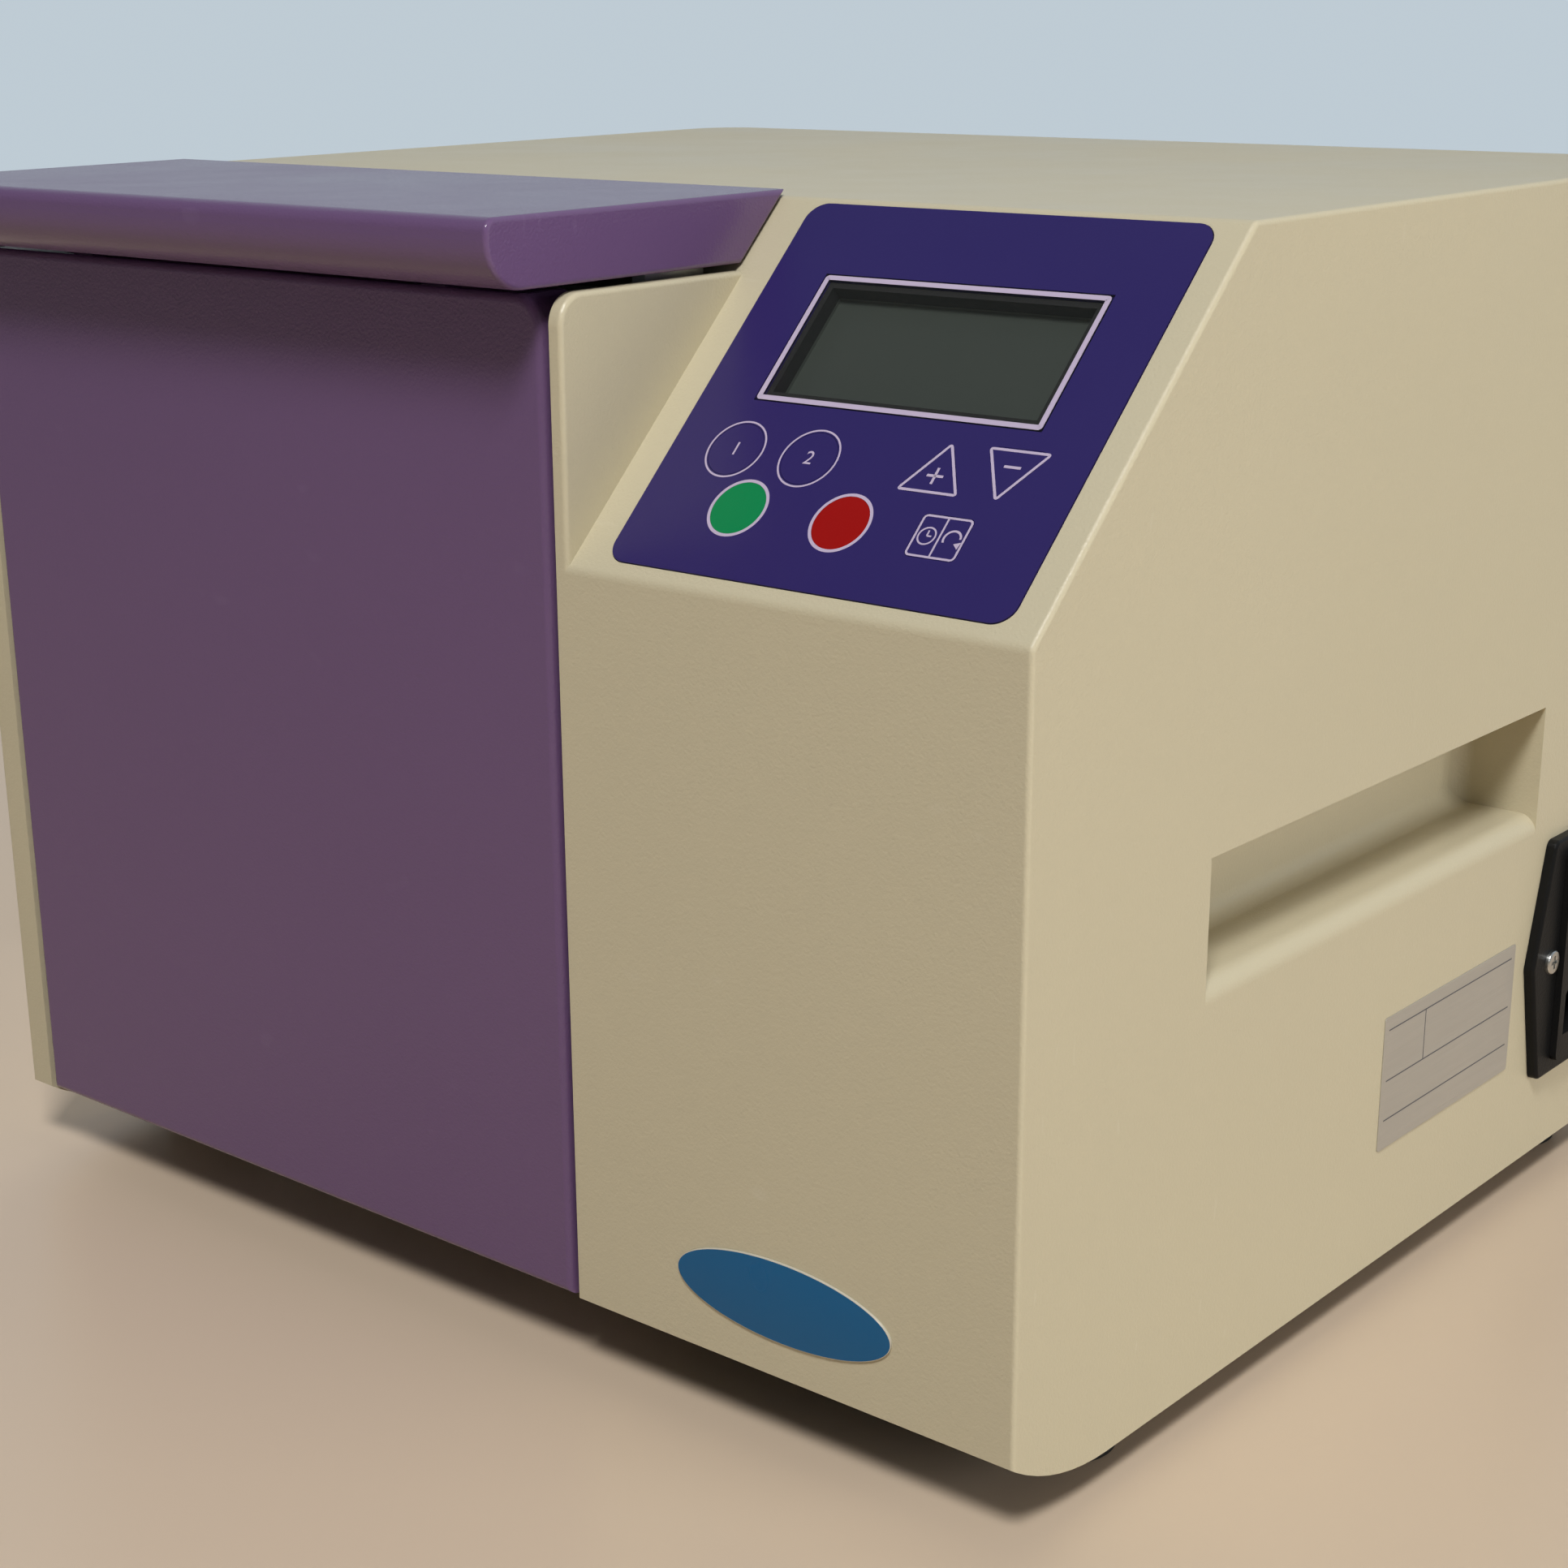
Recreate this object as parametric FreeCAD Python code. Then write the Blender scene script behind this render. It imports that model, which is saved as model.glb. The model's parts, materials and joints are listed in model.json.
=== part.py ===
import FreeCAD, Part
import math
import os

V = FreeCAD.Vector

# Overall sizes. X runs to the right, the front faces -Y, Z is up and the bench is at zero.
body_width = 354.0
body_depth = 317.5
casing_height = 270.0
foot_height = 9.0
wall = 4.0
overrun = 2.0
seat_fit = 0.05
touch_share = 0.001
run_fit = 0.05
key_fit = 0.1
soft_gap = 0.3
sheet_gap = 0.5

# Front of the casing
front_bottom_height = 11.4
front_curve_depth = 37.0
slope_fall = 76.3
slope_run = 78.1
casing_edge_round = 3.0
side_edge_round = 1.2
casing_rear_corner = 16.0
panel_width = 129.8
chamber_wall = 3.6
left_wall = 9.2
shoulder_drop = 16.0
shoulder_round = 7.0
chamber_depth = 61.0

# Door and its inner plate
door_bottom_height = 11.2
door_top_gap = 0.7
door_depth = 16.0
door_skin = 3.0
door_side_gap = 2.5
door_left_gap = 1.0
door_edge_round = 2.0
door_corner_round = 8.0
plate_thickness = 1.5
plate_bottom_rise = 10.8
plate_screw_radius = 2.0
plate_screw_head = 3.6
plate_boss_radius = 4.5
plate_boss_inset = 3.5

# Hinge at the door's foot
hinge_back = 8.0
hinge_rise = 18.0
hinge_pin_radius = 2.5
hinge_eye = 4.3
hinge_arm_width = 5.0
hinge_boss_radius = 5.2
hinge_boss_length = 9.0
hinge_inset = 30.0
hinge_foot_length = 24.0
hinge_foot_width = 22.0
hinge_foot_thickness = 4.0
strap_width = 4.0

# Ledge handle, its pivots and its latch
ledge_thickness = 15.9
ledge_gap = 1.6
nose_reach = 20.5
nose_top_round = 3.2
nose_low_round = 11.0
ledge_end_round = 1.2
ledge_slope_gap = 0.6
ledge_end_inset = 2.5
ledge_left_inset = 1.0
pivot_back = 8.5
pivot_drop = 10.6
pivot_radius = 2.0
lug_width = 8.0
lug_thickness = 5.0
lug_eye = 4.0
pivot_boss_radius = 4.5
pivot_boss_length = 8.0
pivot_inset = 40.0
keeper_back = 36.0
keeper_drop = 13.6
keeper_radius = 3.0
keeper_length = 13.0
hook_thickness = 4.0
hook_width = 9.0
hook_gap = 0.5
hook_length = 19.6
hook_inset = 5.5
hook_foot_length = 18.0
hook_foot_thickness = 3.0

# Chamber lining and paddles
liner_thickness = 1.5
liner_floor_rise = 20.0
liner_front_back = 19.0
liner_side_drop = 22.0
liner_gap = 0.3
paddle_gap_side = 3.0
paddle_gap_middle = 4.0
paddle_top_drop = 21.0
paddle_floor_gap = 13.0
paddle_depth = 8.0
paddle_skin = 3.0
paddle_front_back = 42.0
paddle_corner = 10.0
paddle_edge_round = 2.6
paddle_travel = 10.0
paddle_boss_radius = 12.0

# Rods, bushes and seals
rod_radius = 7.0
guide_radius = 4.0
drive_height_share = 0.485
guide_rise_share = 0.31
rod_end_back = 90.0
guide_end_back = 106.0
bush_wall = 4.0
guide_bush_wall = 3.0
bush_end_back = 88.0
guide_bush_end_back = 84.0
bush_flange = 4.0
bush_flange_thickness = 3.0
seal_depth = 4.0
seal_extra = 2.0
seal_gap = 0.3
bush_plate_thickness = 8.0
bush_plate_drop = 55.0
bush_plate_side_gap = 8.0
bush_plate_grip_gap = 1.5

# Crank, eccentrics and connecting rods
crank_back = 188.0
wrist_back = 120.0
shaft_radius = 8.0
shaft_collar = 1.0
eccentric_radius = 20.0
eccentric_width = 12.0
strap_wall = 6.0
tongue_thickness = 8.0
wrist_radius = 4.0
wrist_head = 1.5
fork_arm = 5.0
fork_eye = 8.0
fork_gap = 3.0
shank_height = 14.0
bearing_outer = 17.0
bearing_plate_thickness = 8.0
bearing_head_radius = 28.0
bearing_foot_length = 62.0
bearing_foot_width = 22.0
bearing_foot_thickness = 6.0
bearing_left_inset = 32.0
bearing_right_gap = 10.0

# Belt drive and motor
driven_radius = 45.0
motor_pulley_radius = 15.0
pulley_width = 14.0
pulley_flange = 2.0
pulley_flange_width = 1.5
pulley_hub_radius = 14.0
pulley_gap = 12.0
belt_width = 10.0
belt_thickness = 2.0
belt_gap = 0.3
motor_reach = 74.0
motor_foot_share = 0.6
motor_rise = 58.0
motor_radius = 38.0
motor_length = 100.0
motor_cap = 14.0
motor_cap_step = 2.0
motor_shaft_radius = 6.0
motor_nose_radius = 16.0
motor_nose_length = 4.0
bracket_thickness = 6.0
bracket_margin = 4.0
motor_screw_radius = 2.5
motor_screw_circle = 28.0
motor_screw_head = 4.2

# Base, feet and screws
base_thickness = 3.0
base_rise = 2.0
base_gap = 0.5
foot_radius = 14.0
foot_taper = 1.0
foot_inset = 20.0
foot_back = 49.0
foot_rear_gap = 34.0
foot_recess_radius = 6.0
foot_recess_depth = 4.0
screw_radius = 2.0
screw_head_radius = 4.0
screw_head_height = 2.4
boss_radius = 6.0
boss_height = 34.0
boss_inset = 10.0

# Rear panel
rear_side_margin = 30.0
rear_bottom_margin = 26.0
rear_top_margin = 30.0
rear_rim = 9.0
rear_sheet = 1.5
rear_gap = 0.3
vent_count = 9
vent_width = 3.0
vent_end_fit = 0.01
vent_length = 62.0
vent_pitch = 9.0
vent_foot = 60.0

# Grip recesses
grip_start = 71.5
grip_length = 168.5
grip_bottom = 103.0
grip_height = 30.0
grip_depth = 24.0
grip_wall = 3.0
grip_lip_round = 5.0
grip_cove_round = 5.0

# Keypad on the slope: across from the right side, along the slope from its foot
overlay_right = 8.0
overlay_width = 109.1
overlay_start = 4.0
overlay_length = 103.4
overlay_corner = 5.0
overlay_thickness = 1.5
overlay_proud = 0.3
overlay_gap = 0.2
key_thickness = 0.7
key_travel = 0.5
round_key_radius = 6.9
mode_key_along = 37.0
mode_one_across = 98.7
mode_two_across = 77.8
start_across = 89.0
stop_across = 60.5
start_along = 22.0
arrow_side = 16.4
arrow_height = 13.6
arrow_round = 1.8
plus_across = 43.6
minus_across = 26.2
arrow_foot_along = 32.2
select_across = 34.5
select_along = 21.9
select_width = 13.0
select_height = 10.8
select_round = 1.4

# Display
screen_right = 25.5
screen_width = 74.5
screen_start = 52.3
screen_length = 33.1
window_thickness = 0.8
window_gap = 0.1
window_lap = 1.6
lcd_margin = 4.0
lcd_depth = 4.5
gasket_gap = 0.1
board_thickness = 1.6
board_width = 110.0
board_length = 78.0
board_start = 18.0
post_radius = 3.5
post_height = 9.0
post_inset = 6.0

# Mains inlet on the right side
inlet_back = 270.4
inlet_height = 59.0
inlet_flange_half_width = 30.5
inlet_flange_half_height = 35.0
inlet_flange_half_flat = 22.0
inlet_flange_thickness = 3.0
inlet_bezel = 2.0
inlet_bezel_width = 31.0
inlet_bezel_height = 62.0
inlet_body_depth = 34.0
inlet_body_width = 29.0
inlet_body_height = 58.0
inlet_body_gap = 0.5
inlet_corner = 2.5
inlet_screw_spacing = 40.0
inlet_screw_head = 3.4
socket_width = 24.6
socket_height = 17.0
socket_depth = 20.0
socket_low = 15.0
socket_chamfer = 5.0
contact_thickness = 2.0
contact_height = 4.0
contact_length = 15.0
contact_pitch = 7.0
contact_earth_rise = 3.0
drawer_width = 26.0
drawer_height = 8.0
drawer_depth = 22.0
drawer_rise = 3.6
drawer_gap = 0.3
rocker_width = 22.0
rocker_height = 14.2
rocker_seat_depth = 11.0
rocker_rise = 19.5
rocker_gap = 0.8
rocker_lean = 9.0
rocker_pivot_depth = 2.0
rocker_back = 3.0
rocker_barrel_radius = 5.0
rocker_tongue_width = 5.0
rocker_tongue_depth = 7.0
rocker_corner = 0.4

# Power board and interlock
board_stand = 6.0
power_right = 36.0
power_width = 62.0
power_start = 64.0
power_length = 130.0
spacer_radius = 3.0
transformer_size = 38.0
heat_sink_share = 0.4
heat_sink_fins = 3
capacitor_count = 2
capacitor_pitch = 21.6
capacitor_radius = 9.0
capacitor_height = 26.0
magnet_radius = 6.0
magnet_thickness = 4.0
magnet_height_share = 0.62
magnet_inset = 9.0
sensor_width = 10.0
sensor_length = 22.0
sensor_height = 24.0
sensor_start = 8.0

# Places that follow from the sizes
inlet_stand_out = inlet_flange_thickness + inlet_bezel
rocker_proud = rocker_height / 2 * math.tan(math.radians(rocker_lean))
right_x = (body_width - inlet_stand_out - rocker_proud) / 2
left_x = right_x - body_width
front_y = -(body_depth + screw_head_height - nose_reach) / 2
rear_y = front_y + body_depth
base_z = foot_height
top_z = base_z + casing_height
slope_z = top_z - slope_fall
slope_angle = math.atan2(slope_fall, slope_run)
chamber_right = right_x - panel_width
chamber_left = left_x + left_wall
shoulder_z = top_z - shoulder_drop
chamber_back = front_y + chamber_depth
floor_z = base_z + base_rise + base_thickness
ledge_z = shoulder_z + ledge_gap
door_left = chamber_left + door_left_gap
door_right = chamber_right - door_side_gap
door_bottom = base_z + door_bottom_height
door_top = shoulder_z - door_top_gap
door_rear = front_y + door_depth
plate_front = door_rear - plate_thickness
hinge_y = front_y + hinge_back
hinge_z = base_z + hinge_rise
pivot_y = front_y + pivot_back
pivot_z = ledge_z - pivot_drop
keeper_y = front_y + keeper_back
keeper_z = ledge_z - keeper_drop
liner_left = chamber_left + liner_gap
liner_right = chamber_right - liner_gap
inner_left = liner_left + liner_thickness
inner_right = liner_right - liner_thickness
liner_floor = base_z + liner_floor_rise
liner_back = chamber_back + liner_thickness
liner_side_top = shoulder_z - liner_side_drop
paddle_width = (inner_right - inner_left - 2 * paddle_gap_side - paddle_gap_middle) / 2
paddle_left_x = inner_left + paddle_gap_side + paddle_width / 2
paddle_right_x = inner_right - paddle_gap_side - paddle_width / 2
paddle_front = front_y + paddle_front_back
paddle_rear = paddle_front + paddle_depth
paddle_foot = liner_floor + paddle_floor_gap
paddle_height = shoulder_z - paddle_top_drop - paddle_foot
drive_z = paddle_foot + paddle_height * drive_height_share
guide_z = drive_z + paddle_height * guide_rise_share
crank_y = front_y + crank_back
wrist_y = front_y + wrist_back
fork_reach = 2 * paddle_travel + rod_radius + fork_gap
bush_plate_rear = liner_back + bush_plate_thickness
seal_rear = chamber_back + seal_depth
bearing_left_x = left_x + bearing_left_inset
bearing_right_x = chamber_right - bearing_right_gap - bearing_plate_thickness
pulley_x = bearing_right_x + bearing_plate_thickness + pulley_gap
motor_y = crank_y + motor_reach
motor_z = base_z + motor_rise
motor_x = pulley_x - pulley_gap / 2 - bracket_thickness
inlet_y = front_y + inlet_back
inlet_z = base_z + inlet_height
inlet_face_x = right_x + inlet_stand_out
magnet_x = door_right - door_skin - magnet_inset
magnet_z = door_bottom + (door_top - door_bottom) * magnet_height_share


def box(x0, x1, y0, y1, z0, z1):
    """A block between two corners."""
    return Part.makeBox(x1 - x0, y1 - y0, z1 - z0, V(x0, y0, z0))


def rod(start, end, radius):
    """A round bar from one point to another."""
    along = end - start
    return Part.makeCylinder(radius, along.Length, start, along)


def rod_x(x0, x1, y, z, radius):
    return rod(V(x0, y, z), V(x1, y, z), radius)


def rod_y(y0, y1, x, z, radius):
    return rod(V(x, y0, z), V(x, y1, z), radius)


def rod_z(z0, z1, x, y, radius):
    return rod(V(x, y, z0), V(x, y, z1), radius)


def rounded_wire(points, radii):
    """A closed flat outline with each corner turned at its own radius."""
    count = len(points)
    starts = []
    ends = []
    middles = []
    for i in range(count):
        corner = points[i]
        before = points[i - 1] - corner
        after = points[(i + 1) % count] - corner
        radius = radii[i]
        if radius == 0:
            starts.append(corner)
            ends.append(corner)
            middles.append(None)
            continue
        before.normalize()
        after.normalize()
        half = before.getAngle(after) / 2
        reach = radius / math.tan(half)
        bisector = before + after
        bisector.normalize()
        middle = corner + bisector * (radius / math.sin(half) - radius)
        starts.append(corner + before * reach)
        ends.append(corner + after * reach)
        middles.append(middle)
    edges = []
    for i in range(count):
        if middles[i] is not None:
            edges.append(Part.Arc(starts[i], middles[i], ends[i]).toShape())
        begin = ends[i]
        finish = starts[(i + 1) % count]
        if (finish - begin).Length > seat_fit * touch_share:
            edges.append(Part.LineSegment(begin, finish).toShape())
    return Part.Wire(edges)


def prism(points, radii, along):
    """A flat outline pushed along a vector."""
    face = Part.Face(rounded_wire(points, radii))
    return face.extrude(along)


def side_prism(outline, radii, x0, x1):
    """An outline of (y, z) pairs pushed from x0 to x1."""
    points = [V(x0, y, z) for y, z in outline]
    return prism(points, radii, V(x1 - x0, 0, 0))


def rounded_bar(x0, x1, z0, z1, y0, y1, radius):
    """A plate standing across the machine with rounded corners seen from the front."""
    points = [V(x0, y0, z0), V(x1, y0, z0), V(x1, y0, z1), V(x0, y0, z1)]
    return prism(points, [radius] * 4, V(0, y1 - y0, 0))


def fuse(shapes):
    """One solid from several that touch."""
    result = shapes[0]
    if len(shapes) > 1:
        result = result.fuse(shapes[1:])
    return result.removeSplitter()


def fillet_where(shape, radius, test):
    """Round the edges that a test on the edge's middle and ends picks out."""
    edges = [edge for edge in shape.Edges if test(edge)]
    return shape.makeFillet(radius, edges)


def edge_at(edge, index, value):
    """True when the whole edge lies on one coordinate."""
    return all(abs(v.Point[index] - value) < seat_fit for v in edge.Vertexes)


def save(shape, name):
    """Write one sub-part, with its solids only."""
    solids = shape.Solids
    result = solids[0] if len(solids) == 1 else Part.makeCompound(solids)
    assert result.isValid(), name
    result.exportStep("parts/" + name + ".step")


def on_slope(shape):
    """Put a shape drawn flat (X across, Y up the slope, Z out of it) on the sloping face."""
    turn = FreeCAD.Rotation(V(1, 0, 0), math.degrees(slope_angle))
    placed = shape.copy()
    placed.Placement = FreeCAD.Placement(V(0, front_y, slope_z), turn)
    return placed


def casing_outline(inset):
    """Side outline of the casing, drawn inward by a wall."""
    rise = inset / math.cos(slope_angle)
    drop = rise - inset * math.tan(slope_angle)
    bend = (rise - inset) / math.tan(slope_angle)
    return [
        (front_y + inset, base_z),
        (rear_y - inset, base_z),
        (rear_y - inset, top_z - inset),
        (front_y + slope_run + bend, top_z - inset),
        (front_y + inset, slope_z - drop),
    ]


def front_curve_tool(x0, x1):
    """What is cut away below the curved front foot of the casing."""
    radius = (front_curve_depth**2 + front_bottom_height**2) / (2 * front_bottom_height)
    block = box(x0, x1, front_y - overrun, front_y + front_curve_depth, base_z - overrun,
                base_z + front_bottom_height * 2)
    return block.cut(rod_x(x0, x1, front_y + front_curve_depth, base_z + radius, radius))


def rear_rounded(shape, y, radius):
    """Round the two upright corners at the back of a block."""
    return fillet_where(shape, radius,
                        lambda e: edge_at(e, 1, y) and abs(e.Vertexes[0].X - e.Vertexes[-1].X) < seat_fit)


def plan_block(inset, z0, z1, y0):
    """A block that follows the casing's rounded rear corners from inside."""
    block = box(left_x + inset, right_x - inset, y0, rear_y - inset, z0, z1)
    return rear_rounded(block, rear_y - inset, casing_rear_corner - inset)


def shell_edge(edge):
    """True on the casing's long outer edges: its sides and the rim of its top."""
    if edge_at(edge, 2, base_z) or edge_at(edge, 1, rear_y - casing_rear_corner):
        return False
    if edge_at(edge, 0, left_x) or edge_at(edge, 0, right_x):
        return True
    return edge_at(edge, 2, top_z) and edge.CenterOfMass.y > rear_y - casing_rear_corner


def casing_shell():
    """The outer skin with its rounded long edges, hollow and open below."""
    skin = side_prism(casing_outline(0), [0, 0, 0, casing_edge_round, casing_edge_round], left_x, right_x)
    skin = rear_rounded(skin, rear_y, casing_rear_corner)
    skin = fillet_where(skin, side_edge_round, shell_edge)
    inner = casing_outline(wall)
    inner[0] = (inner[0][0], base_z - overrun)
    inner[1] = (inner[1][0], base_z - overrun)
    hollow = side_prism(inner, [0] * 5, left_x + wall, right_x - wall)
    return skin.cut(rear_rounded(hollow, rear_y - wall, casing_rear_corner - wall))


def chamber_side(x0, x1, outer):
    """A side wall of the chamber with its raised shoulder."""
    outline = [
        (front_y, base_z),
        (chamber_back, base_z),
        (chamber_back, shoulder_z),
        (front_y, shoulder_z),
    ]
    side = side_prism(outline, [0, 0, 0, shoulder_round], x0, x1)
    return fillet_where(
        side,
        min(casing_edge_round, (x1 - x0) / 3),
        lambda e: edge_at(e, 0, outer) and not edge_at(e, 2, base_z) and not edge_at(e, 1, chamber_back),
    )


def grip_boxes(extra):
    """Both grip recesses, grown by a wall where extra is given."""
    y0 = front_y + grip_start - extra
    y1 = y0 + grip_length + 2 * extra
    z0 = base_z + grip_bottom - extra
    z1 = z0 + grip_height + 2 * extra
    mouth = wall / 2 if extra else -overrun
    right = box(right_x - grip_depth - extra, right_x - mouth, y0, y1, z0, z1)
    left = box(left_x + mouth, left_x + grip_depth + extra, y0, y1, z0, z1)
    return [right, left]


def grip_pockets():
    """The hollows of both grip recesses, with rounded inner corners."""
    right, left = grip_boxes(0)
    return [
        fillet_where(right, grip_cove_round, lambda e: edge_at(e, 0, right_x - grip_depth)),
        fillet_where(left, grip_cove_round, lambda e: edge_at(e, 0, left_x + grip_depth)),
    ]


def grip_lip_tools():
    """What rounds the lower lip of each grip recess."""
    y0 = front_y + grip_start
    y1 = y0 + grip_length
    z1 = base_z + grip_bottom
    z0 = z1 - grip_lip_round
    tools = []
    for x0, x1, x in (
        (right_x - grip_lip_round, right_x + overrun, right_x - grip_lip_round),
        (left_x - overrun, left_x + grip_lip_round, left_x + grip_lip_round),
    ):
        block = box(x0, x1, y0, y1, z0, z1 + overrun)
        tools.append(block.cut(rod_y(y0, y1, x, z0, grip_lip_round)))
    return tools


def base_boss_places():
    """Where the casing's screw bosses stand on the base plate."""
    ys = [front_y + foot_back + foot_radius + boss_inset, rear_y - wall - boss_inset]
    xs = [left_x + wall + boss_inset, right_x - wall - boss_inset]
    return [(x, y) for x in xs for y in ys]


def casing_bosses():
    """Screw bosses with a web to the side wall."""
    parts = []
    for x, y in base_boss_places():
        side = left_x + wall / 2 if x < 0 else right_x - wall / 2
        x0, x1 = sorted([side, x])
        parts.append(rod_z(floor_z, floor_z + boss_height, x, y, boss_radius))
        parts.append(box(x0, x1, y - boss_radius / 2, y + boss_radius / 2, floor_z, floor_z + boss_height))
    return parts


def board_posts():
    """Posts under the sloping face that carry the control board."""
    x1 = right_x - overlay_right - post_inset
    x0 = x1 - board_width + 2 * post_inset
    y0 = board_start + post_inset
    y1 = board_start + board_length - post_inset
    bottom = -wall - post_height
    return [on_slope(rod_z(bottom, -wall / 2, x, y, post_radius)) for x in (x0, x1) for y in (y0, y1)]


def screen_box(grow, z0, z1):
    """A block over the display's opening on the slope."""
    x1 = right_x - screen_right + grow
    x0 = x1 - screen_width - 2 * grow
    y0 = screen_start - grow
    return box(x0, x1, y0, y0 + screen_length + 2 * grow, z0, z1)


def overlay_block(grow, z0, z1):
    """The keypad's rounded outline as a block on the slope."""
    x1 = right_x - overlay_right + grow
    x0 = x1 - overlay_width - 2 * grow
    y0 = overlay_start - grow
    y1 = y0 + overlay_length + 2 * grow
    points = [V(x0, y0, z0), V(x1, y0, z0), V(x1, y1, z0), V(x0, y1, z0)]
    return prism(points, [overlay_corner + grow] * 4, V(0, 0, z1 - z0))


def rear_opening_tools():
    """The opening and the rebate that take the rear panel."""
    x0 = left_x + rear_side_margin
    x1 = right_x - rear_side_margin
    z0 = base_z + rear_bottom_margin
    z1 = top_z - rear_top_margin
    opening = rounded_bar(x0, x1, z0, z1, rear_y - wall * 2, rear_y + overrun, rear_rim)
    rebate = rounded_bar(x0 - rear_rim, x1 + rear_rim, z0 - rear_rim, z1 + rear_rim,
                         rear_y - rear_sheet, rear_y + overrun, rear_rim)
    return [opening, rebate]


def rear_screw_places():
    """Screw places round the rear panel's rim."""
    x0 = left_x + rear_side_margin - rear_rim / 2
    x1 = right_x - rear_side_margin + rear_rim / 2
    z0 = base_z + rear_bottom_margin - rear_rim / 2
    z1 = top_z - rear_top_margin + rear_rim / 2
    return [(x, z) for x in (x0, (x0 + x1) / 2, x1) for z in (z0, z1)]


def make_casing():
    """The moulded casing in one piece."""
    skin = casing_shell()
    sides = [
        chamber_side(left_x, chamber_left, left_x),
        chamber_side(chamber_right, chamber_right + chamber_wall, chamber_right + chamber_wall),
    ]
    body = skin.fuse(sides + grip_boxes(grip_wall) + casing_bosses() + board_posts())
    tools = [
        box(chamber_left, chamber_right, front_y - overrun, chamber_back, base_z - overrun, top_z + overrun),
        front_curve_tool(left_x - overrun, right_x + overrun),
        on_slope(overlay_block(overlay_gap, overlay_proud - overlay_thickness, overrun)),
        on_slope(screen_box(0, -wall * 2, overrun)),
        box(right_x - wall * 2, right_x + overrun,
            inlet_y - inlet_body_width / 2 - inlet_body_gap, inlet_y + inlet_body_width / 2 + inlet_body_gap,
            inlet_z - inlet_body_height / 2 - inlet_body_gap, inlet_z + inlet_body_height / 2 + inlet_body_gap),
    ]
    body = body.cut(tools + grip_pockets() + grip_lip_tools() + rear_opening_tools())
    holes = [rod_z(floor_z - overrun, floor_z + boss_height / 2, x, y, screw_radius + seat_fit)
             for x, y in base_boss_places()]
    holes += [rod_y(rear_y - wall - overrun, rear_y, x, z, screw_radius + seat_fit)
              for x, z in rear_screw_places()]
    for x0, x1 in keeper_spans():
        holes.append(rod_x(min(x0, x1), max(x0, x1), keeper_y, keeper_z, keeper_radius + seat_fit))
    holes += [rod_x(right_x - wall * 2, right_x + overrun, y, inlet_z, screw_radius + seat_fit)
              for y in inlet_screw_ys()]
    holes.append(plan_block(wall, base_z - overrun, floor_z, front_y + front_curve_depth))
    return body.cut(holes)


def keeper_spans():
    """Where each latch keeper runs, from inside its wall into the chamber."""
    left_root = chamber_left - left_wall / 2
    right_root = chamber_right + chamber_wall / 2
    return [(left_root, chamber_left + keeper_length), (right_root, chamber_right - keeper_length)]


def make_keepers():
    pins = []
    for x0, x1 in keeper_spans():
        pins.append(rod_x(min(x0, x1), max(x0, x1), keeper_y, keeper_z, keeper_radius))
    return Part.makeCompound(pins)


def make_base_plate():
    """Steel plate inside the foot of the casing."""
    plate = plan_block(wall + base_gap, base_z + base_rise, floor_z, front_y + front_curve_depth + base_gap)
    holes = [rod_z(base_z - overrun, floor_z + overrun, x, y, screw_radius + seat_fit)
             for x, y in foot_places() + base_boss_places()]
    return plate.cut(holes)


def foot_places():
    ys = [front_y + foot_back, rear_y - foot_rear_gap]
    xs = [left_x + foot_inset, right_x - foot_inset]
    return [(x, y) for x in xs for y in ys]


def make_foot(x, y):
    """Tapered rubber foot with a sunk screw."""
    height = foot_height + base_rise
    cone = Part.makeCone(foot_radius - foot_taper, foot_radius, height, V(x, y, 0))
    cone = fillet_where(cone, foot_taper, lambda e: edge_at(e, 2, 0))
    hole = rod_z(-overrun, height + overrun, x, y, screw_radius + seat_fit)
    recess = rod_z(-overrun, foot_recess_depth, x, y, foot_recess_radius)
    return cone.cut([hole, recess])


def screw(start, direction, length, radius, head_radius, head_height):
    """A pan head screw: the head sits behind the start, the shank runs ahead."""
    way = V(direction)
    way.normalize()
    shank = rod(start, start + way * length, radius)
    head = rod(start - way * head_height, start, head_radius)
    rim = fillet_where(head, head_height / 3,
                       lambda e: (e.CenterOfMass - (start - way * head_height)).Length < seat_fit)
    return fuse([shank, rim])


def make_foot_screws():
    length = foot_height + base_rise - foot_recess_depth + base_thickness
    return Part.makeCompound([
        screw(V(x, y, foot_recess_depth), V(0, 0, 1), length, screw_radius,
              screw_head_radius, screw_head_height)
        for x, y in foot_places()
    ])


def make_casing_screws():
    return Part.makeCompound([
        screw(V(x, y, base_z + base_rise), V(0, 0, 1), base_thickness + boss_height / 3,
              screw_radius, screw_head_radius, base_rise)
        for x, y in base_boss_places()
    ])


def make_rear_panel():
    """Sheet panel with two banks of vent slots."""
    x0 = left_x + rear_side_margin - rear_rim + rear_gap
    x1 = right_x - rear_side_margin + rear_rim - rear_gap
    z0 = base_z + rear_bottom_margin - rear_rim + rear_gap
    z1 = top_z - rear_top_margin + rear_rim - rear_gap
    sheet = rounded_bar(x0, x1, z0, z1, rear_y - rear_sheet, rear_y, rear_rim)
    tools = [rod_y(rear_y - rear_sheet - overrun, rear_y + overrun, x, z, screw_radius + seat_fit)
             for x, z in rear_screw_places()]
    middle = (x0 + x1) / 2
    for side in (-1, 1):
        centre = middle + side * (x1 - x0) / 4
        for row in range(vent_count):
            z = z0 + vent_foot + row * vent_pitch
            tools.append(rounded_bar(centre - vent_length / 2, centre + vent_length / 2, z, z + vent_width,
                                     rear_y - rear_sheet - overrun, rear_y + overrun, vent_width / 2 - vent_end_fit))
    return sheet.cut(tools)


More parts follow.
